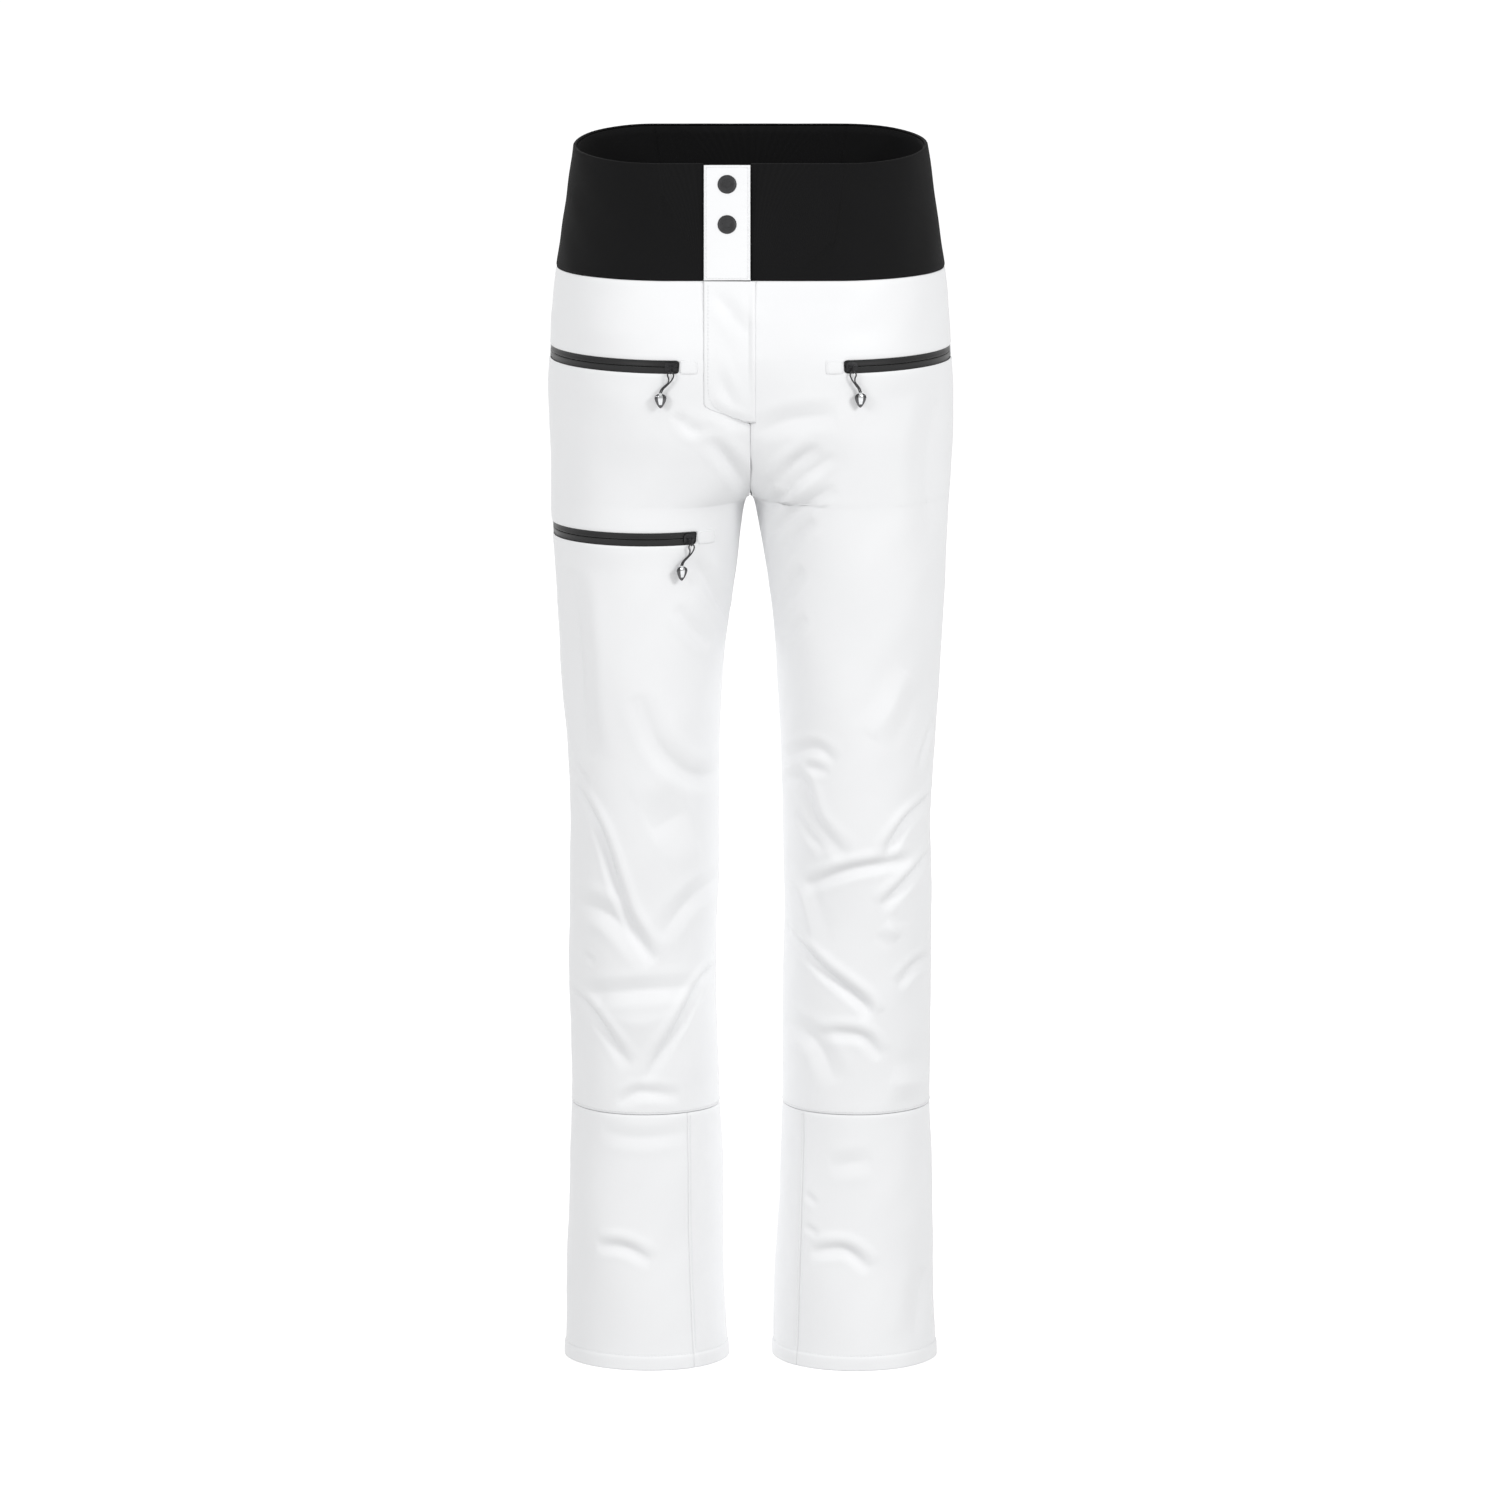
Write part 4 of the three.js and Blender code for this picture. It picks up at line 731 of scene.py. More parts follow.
HEM = 0.015
SCUFF_BACK = -52
SCUFF_FRONT = {"right": 55, "left": 45}
LOWER_AROUND, SCUFF_AROUND = 0.36, 0.13
HEM_STITCH, HEM_STITCH_WIDTH = 0.0132, 0.0011
HEM_PUFF, HEM_DRAW = 0.0012, 0.0009
hem_rows = [0.0, 0.0006, 0.0016, 0.004, 0.0075, 0.0105, 0.0122, 0.0130, 0.0136, 0.0144, 0.0156, 0.0172]
cuff_rows = np.append(hem_rows, spread(0.0195, CUFF_SEAM - SEAM_GAP / 2, MESH_PITCH, SEAM_ROLL)[4:])


def at_angle(degrees):
    return lambda height: math.radians(degrees) + 0 * height


def dense(paint):
    """The scuff guard's cloth: the same white with a tighter, flatter weave and faint scuffs."""
    weave = ribs(paint, 300, "DIAGONAL")
    scuffs = mottle(paint, 60, 6.0, rough=0.7)
    return {
        "Base Color": tint(paint, scuffs, (0.750, 0.754, 0.764), (0.805, 0.810, 0.818)),
        "Roughness": scuffs * 0.2 + 0.44,
        "height": weave * 0.6 + scuffs,
        "depth": 0.00006,
    }


scuff_finish = finish("white_scuff_guard", dense, Specular_IOR_Level=0.45)


def hem_puff(height):
    """The hem stands a little proud of the leg, and is drawn in at its stitching."""
    drawn_in = HEM_DRAW * np.exp(-(((height - HEM_STITCH) / HEM_STITCH_WIDTH) ** 2))
    return HEM_PUFF * smooth(HEM + 0.001, HEM - 0.003, height) - drawn_in


for half, leg in halves.items():
    scuff_front = SCUFF_FRONT[half]
    for part, low, high, girth, look in (
        ("lower_leg", scuff_front, 360 + SCUFF_BACK, LOWER_AROUND, shell_finish),
        ("scuff_guard", SCUFF_BACK, scuff_front, SCUFF_AROUND, scuff_finish),
    ):
        edges = at_angle(low), at_angle(high)
        piece = panel(f"{part}_cloth_{half}", leg, cuff_rows, *edges, ("foot",), around=girth)
        wide = np.array([v.co for v in piece.data.vertices])
        above_hem = wide[:, 2] - HEM_Z
        middle = section(above_hem)
        outwards = np.stack([wide[:, 0] - leg * middle["axis"], wide[:, 1] - middle["centre"]], axis=1)
        outwards /= np.linalg.norm(outwards, axis=1, keepdims=True)
        wide[:, :2] += outwards * hem_puff(above_hem)[:, None]
        piece.data.vertices.foreach_set("co", wide.ravel())
        place(piece, "root", "shell_fabric", look, f"{part}_{half}")

# ---------------------------------------------------------------- Stitching
# Visible seams are topstitched with white polyester thread, about eight stitches to the inch: at the calf
# seam, along the scuff guards and round the hems. Each stitch is a short raised thread that dives into the
# cloth at both ends.

THREAD_R = 0.00028
STITCH = 0.0031
STITCH_THREAD = 0.0024
THREAD_SIDES = 6
STITCH_PROFILE = [  # along the thread, off the cloth and across: shares of its length and of its radius
    (-0.5, -0.6, 0.35),
    (-0.42, 0.0, 0.85),
    (-0.2, 0.55, 1.0),
    (0.2, 0.55, 1.0),
    (0.42, 0.0, 0.85),
    (0.5, -0.6, 0.35),
]


def twisted(paint):
    ply = ribs(paint, 900, "DIAGONAL", "Object")
    white = tint(paint, ply, (0.70, 0.71, 0.72), (0.80, 0.805, 0.81))
    return {"Base Color": white, "height": ply, "depth": 0.00004}


thread_finish = finish("white_thread", twisted, Roughness=0.5, Sheen_Weight=0.2)


def stitch_row(name, line, way, body, slot, pitch=STITCH):
    """A row of stitches along a line of places on the cloth, with the way off the cloth at each place."""
    steps = np.linalg.norm(np.diff(line, axis=0), axis=1)
    run = np.append(0, np.cumsum(steps))
    count = max(int(run[-1] / pitch), 1)
    starts = (np.arange(count) + 0.5) * run[-1] / count
    vertices, faces = [], []
    sides = THREAD_SIDES

    def at(values, where):
        return np.stack([np.interp(where, run, values[:, k]) for k in range(3)], axis=-1)

    middles, ways = at(line, starts), at(way, starts)
    before, after = at(line, starts - STITCH_THREAD / 2), at(line, starts + STITCH_THREAD / 2)
    for k in range(count):
        along_it = after[k] - before[k]
        along_it /= np.linalg.norm(along_it) + 1e-12
        off = ways[k] / np.linalg.norm(ways[k])
        beside = np.cross(along_it, off)
        base = len(vertices)
        for share, rise, size in STITCH_PROFILE:
            centre = middles[k] + along_it * share * STITCH_THREAD + off * rise * THREAD_R
            for s in range(sides):
                a = 2 * math.pi * s / sides
                vertices.append(centre + THREAD_R * size * (math.cos(a) * off + math.sin(a) * beside))
        for ring in range(len(STITCH_PROFILE) - 1):
            for s in range(sides):
                a, b = base + ring * sides + s, base + ring * sides + (s + 1) % sides
                faces.append((a, b, b + sides, a + sides))
        faces.append([base + s for s in reversed(range(sides))])
        faces.append([base + (len(STITCH_PROFILE) - 1) * sides + s for s in range(sides)])
    mesh = bpy.data.meshes.new(name)
    mesh.from_pydata(vertices, [], faces)
    mesh.polygons.foreach_set("use_smooth", np.ones(len(faces), bool))
    place(bpy.data.objects.new(name, mesh), body, slot, thread_finish)


def cloth_row(leg, angle, height, proud=0.0):
    """A line on the cloth for stitches, with the way off it."""
    angle, height = np.broadcast_arrays(np.asarray(angle, float), np.asarray(height, float))
    return cloth(leg, angle, height, -proud), outward(leg, angle, height)


STITCH_INSET = 0.0026
ANKLE_R = 0.082
for half, leg in halves.items():
    full_turn = np.radians(np.linspace(SCUFF_BACK, SCUFF_BACK + 360, 260))
    hem_line = cloth_row(leg, full_turn, HEM_STITCH, hem_puff(HEM_STITCH))
    stitch_row(f"hem_stitches_{half}", *hem_line, "root", "shell_fabric")
    calf_line = cloth_row(leg, full_turn, CUFF_SEAM + STITCH_INSET)
    stitch_row(f"calf_stitches_{half}", *calf_line, "root", "shell_fabric")
    for edge, degrees, side in (("front", SCUFF_FRONT[half], -1), ("back", SCUFF_BACK, 1)):
        heights = np.linspace(0.017, CUFF_SEAM - 0.002, 90)
        line = cloth_row(leg, math.radians(degrees) + side * STITCH_INSET / ANKLE_R + 0 * heights, heights)
        stitch_row(f"scuff_{edge}_stitches_{half}", *line, "root", "shell_fabric")

# ---------------------------------------------------------------- Fly
# The fly is closed by a zip under a double flap of shell cloth, which is held by a J of stitching on the
# wearer's right and laps a few millimetres over the left front. A shield behind the zip keeps it off the
# lining.

FLAP_LAP = 0.0045
FLAP_GAP, FLAP_PROUD = 0.0002, 0.0011
FLAP_PLY = 0.0011
FLAP_TURN, FLAP_TURN_DROP = 0.0012, 0.0009
flap_rows = shell_rows[shell_rows > FLY_FOOT + 0.001]


def flap_place(x, height):
    """The flap's outer face: flush with the right front at its seam, proud of the left at its free edge."""
    leg = np.where(x > 0, 1, -1)
    angle = front_angle(height, abs(x))
    base, way = skin(leg, angle, height), outward(leg, angle, height)
    rise = np.where(x > 0, lift(1, base, way), lift(-1, base, way))
    return base + way * (rise + FLAP_GAP + FLAP_PROUD * smooth(-0.030, -0.002, x))[..., None], way


share = np.append(np.linspace(0, 0.93, 22), [0.955, 0.975, 0.988, 0.996, 1.0])
height = flap_rows[:, None]
reach = -fly_reach(height)
x = reach + share * (FLAP_LAP - reach)
flap_grid, flap_way = flap_place(x, height + 0 * x)
turned_under = np.clip((x - FLAP_LAP + FLAP_TURN) / FLAP_TURN, 0, 1)
flap_grid = flap_grid - flap_way * (FLAP_TURN_DROP * turned_under**2)[..., None]
flap = sheet_mesh("fly_flap_cloth", flap_grid, flap_way, FLAP_PLY, x, height + 0 * x)
place(flap, "root", "shell_fabric", shell_finish, "fly_flap")

j_points = [(-38, 1004), (-38, 975), (-38, 940), (-38, 914), (-36, 901)]
j_points += [(-30, 893), (-18, 886), (-4, 879), (3, 877)]
j_x, j_height = through(j_points, 12).T / 1000
stitch_row("fly_j_stitches", *flap_place(j_x, j_height), "root", "shell_fabric")

# ---------------------------------------------------------------- Zips
# The two hand pockets and the thigh pocket close with water-repellent coil zips: the tape is coated satin
# black and its halves meet over the coil. A bonded white patch, the garage, finishes the slot at the
# slider's end.

TAPE_DEPTH = 0.0023
TAPE_PLY = 0.0007
TAPE_STAND, COIL_BULGE, MEETING_DIP = 0.00035, 0.00028, 0.0007
TAPE_PAST = 3.2, 0.6  # degrees that a tape runs on past the two ends of its slot


def coated(paint):
    """A satin film over twill tape, with fine scuffs."""
    grain = mottle(paint, 500, 2.0)
    broad = mottle(paint, 40, 3.0)
    return {
        "Base Color": tint(paint, broad, (0.006, 0.006, 0.0065), (0.011, 0.011, 0.0115)),
        "Roughness": broad * 0.14 + 0.34,
        "height": grain,
        "depth": 0.00003,
    }


tape_finish = finish("coated_black_tape", coated, Specular_IOR_Level=0.3)


def darkened(paint):
    cast = mottle(paint, 700, 3.0)
    return {
        "Base Color": tint(paint, cast, (0.018, 0.018, 0.019), (0.045, 0.045, 0.047)),
        "Roughness": cast * 0.16 + 0.30,
        "height": cast,
        "depth": 0.00003,
    }


gunmetal = finish("dark_metal", darkened, Metallic=0.85)


def brushed(paint):
    fine = mottle(paint, 1500, 3.0)
    return {
        "Base Color": tint(paint, fine, (0.50, 0.51, 0.52), (0.66, 0.67, 0.68)),
        "Roughness": fine * 0.10 + 0.10,
        "height": fine,
        "depth": 0.00001,
    }


# The darker silver for alternate facets and the point of the charm is painted dark reflection. It stands in
# for the dark surroundings that a chrome drop mirrors, and is no oxide on the metal.
def painted_dark_reflection(paint):
    fine = mottle(paint, 1300, 3.0)
    return {
        "Base Color": tint(paint, fine, (0.050, 0.050, 0.052), (0.120, 0.120, 0.124)),
        "Roughness": fine * 0.12 + 0.16,
        "height": fine,
        "depth": 0.00001,
    }


silver = finish("polished_silver", brushed, Metallic=1.0)
painted_reflection_silver = finish("silver_painted_dark_reflection", painted_dark_reflection, Metallic=1.0)


def tape_depth(away):
    """Depth under the shell: a slight bulge over the coil, and a fine groove where the halves meet."""
    bulge = COIL_BULGE * (1 - smooth(0.0008, 0.0038, away))
    meet = MEETING_DIP * np.exp(-((away / 0.00028) ** 2))
    return TAPE_DEPTH - TAPE_STAND - bulge + meet


tape_rise = np.array(
    [0.00006, 0.0002, 0.0004, 0.0007, 0.0012, 0.002, 0.003, 0.0038, 0.0045, 0.0052, 0.006, 0.0078, 0.0099]
)
for zip_name, fact in ZIPS.items():
    turns = np.radians(np.linspace(90 + fact["inner"] - TAPE_PAST[0], 90 + fact["outer"] + TAPE_PAST[1], 96))
    for part, way_up in (("upper", 1), ("lower", -1)):
        height = (fact["height"] + way_up * tape_rise)[:, None]
        base, way = skin(fact["leg"], turns, height), outward(fact["leg"], turns, height)
        across = along_rows(base)
        tape = base - way * tape_depth(tape_rise[:, None])[..., None]
        made = sheet_mesh(f"{zip_name}_tape_{part}", tape, way, TAPE_PLY, across, height + 0 * across)
        place(made, "root", "coated_zip", tape_finish, f"{zip_name}_zip_tape_{part}")


GARAGE_GAP, GARAGE_LAP, GARAGE_PLY = 0.0006, 0.0004, 0.0002
GARAGE_STITCHED = 0.80  # how far out from a garage's middle its stitches run
CORNER_BEND = 0.16


def garage_spot(fact, u, v):
    """Distance from the centre plane and height of a place on a garage, whose corners are rounded off."""
    rounded_u, rounded_v = u * np.sqrt(1 - CORNER_BEND * v * v), v * np.sqrt(1 - CORNER_BEND * u * u)
    x = slot_end_x(fact) - GARAGE_GAP - GARAGE_LENGTH / 2 * (1 + rounded_u)
    return x, fact["height"] + rounded_v * (ZIP_SLOT / 2 + GARAGE_LAP)


for zip_name, fact in ZIPS.items():
    leg = fact["leg"]
    u, v = np.meshgrid(*(np.sin(np.linspace(-1, 1, count) * math.pi / 2) for count in (27, 21)))
    x, height = garage_spot(fact, u, v)
    angle = front_angle(height, x)
    edge = np.maximum(abs(u), abs(v))
    drawn_in = 0.0003 * np.exp(-(((edge - GARAGE_STITCHED) / 0.05) ** 2))
    puff = 0.00075 * (1 - smooth(0.90, 1.0, edge)) + 0.00025 - drawn_in
    grid = cloth(leg, angle, height) + outward(leg, angle, height) * puff[..., None]
    patch = sheet_mesh(f"{zip_name}_garage", grid, outward(leg, angle, height), GARAGE_PLY, x, height)
    place(patch, "root", "shell_fabric", shell_finish, f"{zip_name}_zip_garage")
    turn = np.linspace(0, 2 * math.pi, 80)
    across, up = np.cos(turn), np.sin(turn)
    square = np.maximum(abs(across), abs(up))
    ring_x, ring_height = garage_spot(fact, GARAGE_STITCHED * across / square, GARAGE_STITCHED * up / square)
    ring = cloth_row(leg, front_angle(ring_height, ring_x), ring_height, 0.0006)
    stitch_row(f"{zip_name}_garage_stitches", *ring, "root", "shell_fabric", pitch=0.0027)

# ---------------------------------------------------------------- Sliders, links and charms
# Each slider is a dark plated casting that clasps the coil between two plates, with a bail on its face. A
# wire link hangs from the bail, and a faceted silver drop hangs from the link by its cord.

SLIDER_LENGTH, SLIDER_HEIGHT, SLIDER_PLATE, SLIDER_PLAY = 0.011, 0.0085, 0.0012, 0.0006
TAPE_THICKNESS, COIL_THICKNESS = 0.0008, 0.0016
COIL_BACK = TAPE_DEPTH + TAPE_THICKNESS + COIL_THICKNESS
BAIL_STAND = 0.0042
BAIL_R = 0.000425
BAIL_HALF = 0.0024 + BAIL_R


def tube(path, radius, sides, closed=False):
    """Vertices and faces of a round bar along a path."""
    path = np.array(path, float)
    count = len(path)
    ahead = np.roll(path, -1, axis=0) - np.roll(path, 1, axis=0) if closed else np.gradient(path, axis=0)
    ahead /= np.linalg.norm(ahead, axis=1, keepdims=True)
    normal = np.cross(ahead[0], (0.31, 0.72, 0.62))
    vertices = []
    for k in range(count):
        normal = normal - ahead[k] * (normal @ ahead[k])
        normal /= np.linalg.norm(normal)
        beside = np.cross(ahead[k], normal)
        for s in range(sides):
            a = 2 * math.pi * s / sides
            vertices.append(path[k] + radius * (math.cos(a) * normal + math.sin(a) * beside))
    last = count if closed else count - 1
    faces = []
    for k in range(last):
        here, there = k * sides, (k + 1) % count * sides
        for s in range(sides):
            beyond = (s + 1) % sides
            faces.append((here + s, here + beyond, there + beyond, there + s))
    if not closed:
        faces += [tuple(reversed(range(sides))), tuple(range((count - 1) * sides, count * sides))]
    return vertices, faces


def slab(outline, front, back, bevel=0.0):
    """A plate whose outline lies in XZ and whose faces are at two places along Y, with rounded edges."""
    bm = bmesh.new()
    face = bm.faces.new([bm.verts.new((x, back, z)) for x, z in outline])
    grown = bmesh.ops.extrude_face_region(bm, geom=[face])
    moved = [item for item in grown["geom"] if isinstance(item, bmesh.types.BMVert)]
    bmesh.ops.translate(bm, verts=moved, vec=(0, front - back, 0))
    bmesh.ops.recalc_face_normals(bm, faces=bm.faces)
    if bevel:
        rims = [e for e in bm.edges if abs(e.verts[0].co.y - e.verts[1].co.y) < 1e-7]
        bmesh.ops.bevel(bm, geom=rims, offset=bevel, segments=3, profile=0.5, affect="EDGES")
    bm.verts.index_update()
    made = [tuple(v.co) for v in bm.verts], [tuple(v.index for v in f.verts) for f in bm.faces]
    bm.free()
    return made


def oval(half_x, half_z, power, count, taper=0.0):
    """An outline between an ellipse and a rectangle, in XZ."""
    turn = np.linspace(0, 2 * math.pi, count, endpoint=False)
    c, s = np.cos(turn), np.sin(turn)
    x = half_x * np.sign(c) * abs(c) ** (2 / power)
    return [(a, b * (1 - taper * a / half_x)) for a, b in zip(x, half_z * np.sign(s) * abs(s) ** (2 / power))]


def joined(name, parts, where=None):
    """One mesh object out of several (vertices, faces) solids, set in a frame."""
    vertices, faces = [], []
    for part_vertices, part_faces in parts:
        base = len(vertices)
        vertices += [tuple(v) for v in part_vertices]
        faces += [tuple(base + i for i in f) for f in part_faces]
    mesh = bpy.data.meshes.new(name)
    mesh.from_pydata(vertices, [], faces)
    bm = bmesh.new()
    bm.from_mesh(mesh)
    bmesh.ops.recalc_face_normals(bm, faces=bm.faces)
    bm.to_mesh(mesh)
    bm.free()
    mesh.polygons.foreach_set("use_smooth", np.ones(len(mesh.polygons), bool))
    mesh.set_sharp_from_angle(angle=math.radians(38))
    if where is not None:
        mesh.transform(where)
    return bpy.data.objects.new(name, mesh)


def slider_parts():
    """The slider looks along -Y with its chain along X, and the tapes' face is at Y 0."""
    face = -SLIDER_PLAY - SLIDER_PLATE
    inner = COIL_BACK - TAPE_DEPTH + SLIDER_PLAY
    bar = face - BAIL_STAND
    arch = [(-BAIL_HALF, face + 0.0003), (-BAIL_HALF, bar + 0.0011), (-BAIL_HALF + 0.0003, bar + 0.0003)]
    arch += [(-BAIL_HALF + 0.0011, bar), (0, bar)]
    arch += [(-x, y) for x, y in reversed(arch[:-1])]
    front = oval(SLIDER_LENGTH / 2, SLIDER_HEIGHT / 2, 3.2, 44, 0.10)
    back = oval(SLIDER_LENGTH / 2, SLIDER_HEIGHT / 2 - 0.001, 3.2, 44, 0.10)
    ridge = oval(0.0033, 0.0016, 2.4, 28)
    return [
        slab(front, face, -SLIDER_PLAY, 0.00035),
        slab(back, inner, inner + SLIDER_PLATE, 0.00035),
        slab(oval(0.002, 0.0005, 4, 16), -SLIDER_PLAY - 0.0001, inner + 0.0001),
        slab(ridge, face - 0.0005, face + 0.0002, 0.0003),
        tube([(x, y, 0) for x, y in through(arch, 4)], BAIL_R, 10),
    ]


def slider_frame(fact):
    """Where a slider sits on its arc at rest."""
    s = section(fact["height"])
    turn = fact["leg"] * (math.radians(fact["inner"]) + (SLIDER_LENGTH / 2 + 0.002) / s["outer"])
    up, down = section(fact["height"] + 0.010)["side"], section(fact["height"] - 0.010)["side"]
    spot = Matrix.Translation((fact["leg"] * s["axis"], s["centre"], HEM_Z + fact["height"]))
    out = Matrix.Translation((0, TAPE_DEPTH - s["outer"], 0))
    lean = Matrix.Rotation(math.atan((up - down) / 0.020), 4, "X")
    return spot @ Matrix.Rotation(turn, 4, "Z") @ out @ lean


def link_parts():
    """A wire oval in the plane across the zip, hung by its upper end."""
    radius = LINK_BORE_R + LINK_WIRE / 2
    turn = np.linspace(0, math.pi, 13)
    top = [(0, radius * math.cos(a), radius * math.sin(a)) for a in turn]
    foot = [(0, -radius * math.cos(a), -LINK_LENGTH - radius * math.sin(a)) for a in turn]
    sides = [[(0, sign * radius, -LINK_LENGTH * k / 5) for k in range(1, 5)] for sign in (-1, 1)]
    return [tube([*top, *sides[0], *foot, *reversed(sides[1])], LINK_WIRE / 2, 10, closed=True)]


CHARM_WIDTH, CHARM_HEIGHT, CHARM_THICKNESS = 0.011, 0.013, 0.004
CHARM_SIDES, CHARM_RINGS = 8, 7


def charm_parts():
    """A cut drop: a flat collar, a broad shoulder and eight facets that run down to a point."""
    profile = [(0.30, 0.0), (0.62, -0.05), (0.92, -0.15), (1.0, -0.30)]
    profile += [(0.86, -0.52), (0.58, -0.76), (0.24, -0.95), (0.06, -1.0)]
    rings = []
    for size, drop in profile:
        for k in range(CHARM_SIDES):
            a = 2 * math.pi * (k + 0.5) / CHARM_SIDES
            across, out = size * math.cos(a) * CHARM_WIDTH / 2, size * math.sin(a) * CHARM_THICKNESS / 2
            rings.append((across * 1.06, out * 1.05, drop * CHARM_HEIGHT))
    n = CHARM_SIDES
    faces = [
        (r * n + k, r * n + (k + 1) % n, (r + 1) * n + (k + 1) % n, (r + 1) * n + k)
        for r in range(len(profile) - 1)
        for k in range(n)
    ]
    faces += [tuple(range(n)), tuple(reversed(range((len(profile) - 1) * n, len(profile) * n)))]
    collar = tube([(0, 0, 0.0006), (0, 0, -0.001), (0, 0, -0.0026)], 0.0017, 16)
    return [(rings, faces), collar]


for zip_name, fact in ZIPS.items():
    hang = hanging_frame(zip_name)
    slider = joined(f"{zip_name}_slider_casting", slider_parts(), slider_frame(fact))
    place(slider, f"{zip_name}_slider", "dark_metal", gunmetal, f"{zip_name}_zip_slider")
    link = joined(f"{zip_name}_wire_link", link_parts(), hang)
    place(link, f"{zip_name}_link", "dark_metal", gunmetal, f"{zip_name}_zip_link")
    foot = Matrix.Translation((fact["leg"] * fact["lean"], 0, CORD_TURN_Z - CORD_DROP - 0.0007))
    charm = joined(f"{zip_name}_charm", charm_parts(), hang @ foot)
    place(charm, f"{zip_name}_pull", "silver_metal", silver, f"{zip_name}_pull_charm")
    # Alternate facets and the two lowest rings take the darker silver: painted dark reflections on the chrome
    # drop.
    charm.data.materials.append(painted_reflection_silver)
    for number in range(CHARM_RINGS * CHARM_SIDES):
        ring, side = divmod(number, CHARM_SIDES)
        charm.data.polygons[number].material_index = int(side % 2 == 0 or ring >= CHARM_RINGS - 2)

# ---------------------------------------------------------------- Waistband
# The waistband is a deep, soft, stretch rib knit, doubled over at the rim: an outer ply in three pieces, a
# facing inside and, between them at the back and sides, a broad elastic. It leans in to follow the waist,
# and rises at the back.

RIM = 1.117
RIM_TILT = 0.115
BAND_FOOT = WAIST_SEAM + SEAM_GAP / 2
BAND_PLY = 0.0012
FACING_DEPTH = 0.0036
ROLL_R = 0.0016
FACING_PLY = 0.0008
BAND_DIP, BAND_DIP_SIDE, BAND_DIP_FOOT = 0.0007, 0.0011, 0.0014  # the dip at its seams, and how wide it is
TAB_WIDTH = 0.042


def knit(paint):
    """A fine rib knit: close upright ribs, soft fibre and a faint unevenness from wear."""
    rib = ribs(paint, 300, "X")
    loops = ribs(paint, 380, "Y")
    fibre = mottle(paint, 1400, 4.0)
    broad = mottle(paint, 18, 3.0)
    tone = broad * 0.5 + rib * 0.3 + fibre * 0.2
    return {
        "Base Color": tint(paint, tone, (0.0028, 0.0028, 0.0030), (0.0060, 0.0060, 0.0063)),
        "Roughness": fibre * 0.1 + 0.82,
        "height": rib + loops * 0.35 + fibre * 0.5,
        "depth": 0.00012,
    }


knit_finish = finish("black_rib_knit", knit, Specular_IOR_Level=0.12, Sheen_Weight=0.02, Sheen_Roughness=0.6)


def band(leg, turn, share):
    """The band's surface between the waist seam (0) and the rim (1). turn gives the angle at a height."""
    height = BAND_FOOT + 0 * share
    for _ in range(4):
        y = skin(leg, turn(height), height)[..., 1]
        height = BAND_FOOT + (RIM + RIM_TILT * y - BAND_FOOT) * share
    return skin(leg, turn(height), height), outward(leg, turn(height), height), height


def ripple(place):
    """The small waves of a stretched band."""
    flat = place * 1000
    along = np.sin(flat[..., 0] * 0.11 + flat[..., 2] * 0.05)
    return 0.00045 * (along * np.sin(flat[..., 2] * 0.09 - flat[..., 1] * 0.07))


def band_piece(name, spans, depth, rows, ply, roll, *replaced, look=knit_finish, slot="waistband_knit"):
    """A ply of the band over spans of (leg, first angle, last angle). A rolled ply turns over at the rim."""
    grid, way, up = [], [], []
    columns = spread(0, 1, 0.010, SEAM_ROLL)[None, :]
    for leg, first, last in spans:

        def turn(height):
            return first(height) + columns * (last(height) - first(height))

        spot, off, level = band(leg, turn, rows[:, None] + 0 * columns)
        spot = spot + off * (ripple(spot) - depth)[..., None]
        if roll:
            top, top_off = spot[-1:], off[-1:]
            a = np.linspace(0, math.pi, 9)[1:, None, None]
            over = top - top_off * ROLL_R * (1 - np.cos(a)) + np.array([0, 0, 1]) * ROLL_R * 0.8 * np.sin(a)
            spot, off = np.vstack([spot, over]), np.vstack([off, np.repeat(top_off, 8, axis=0)])
            level = np.vstack([level, level[-1:] + np.linspace(0.001, 0.006, 8)[:, None]])
        grid.append(spot)
        way.append(off)
        up.append(level)
    grid, way, up = (np.concatenate(v, axis=1) for v in (grid, way, up))
    step = np.linalg.norm(np.diff(grid, axis=1), axis=2)
    fresh = np.append(True, step[len(rows) // 2] > 1e-6)
    grid, way, up = grid[:, fresh], way[:, fresh], up[:, fresh]
    across = along_rows(grid)
    edge = np.minimum(across, across[:, -1:] - across)
    foot = up - up[:1]
    dip = np.exp(-((edge / BAND_DIP_SIDE) ** 2)) + np.exp(-((foot / BAND_DIP_FOOT) ** 2))
    grid = grid - way * (BAND_DIP * dip)[..., None]
    made = sheet_mesh(name, grid, way, ply, across[:1] + 0 * across, up)
    place(made, "root", slot, look, *replaced)


def at_x(x):
    return lambda height: front_angle(height, x)


def middle_front(height):
    return section(height)["start"]


band_rows = spread(0, 1, 0.045, (0.005, 0.012, 0.022))
right_front = [(-1, at_x(TAB_WIDTH + SEAM_GAP), side_edge)]
left_front = [(1, middle_front, side_edge)]
around_back = [(-1, side_edge, back_edge), (1, back_edge, side_edge)]
band_piece("band_front_right", right_front, 0, band_rows, BAND_PLY, True, "waistband_front_right")
band_piece("band_front_left", left_front, 0, band_rows, BAND_PLY, True, "waistband_front_left")
band_piece("band_back", around_back, 0, band_rows, BAND_PLY, True, "waistband_back")
facing_spans = [(-1, at_x(TAB_WIDTH + 0.010), side_edge), *around_back, (1, side_edge, middle_front)]
facing_rows = spread(0, 0.992, 0.06)
band_piece("band_facing", facing_spans, FACING_DEPTH, facing_rows, FACING_PLY, False, "waistband_facing")


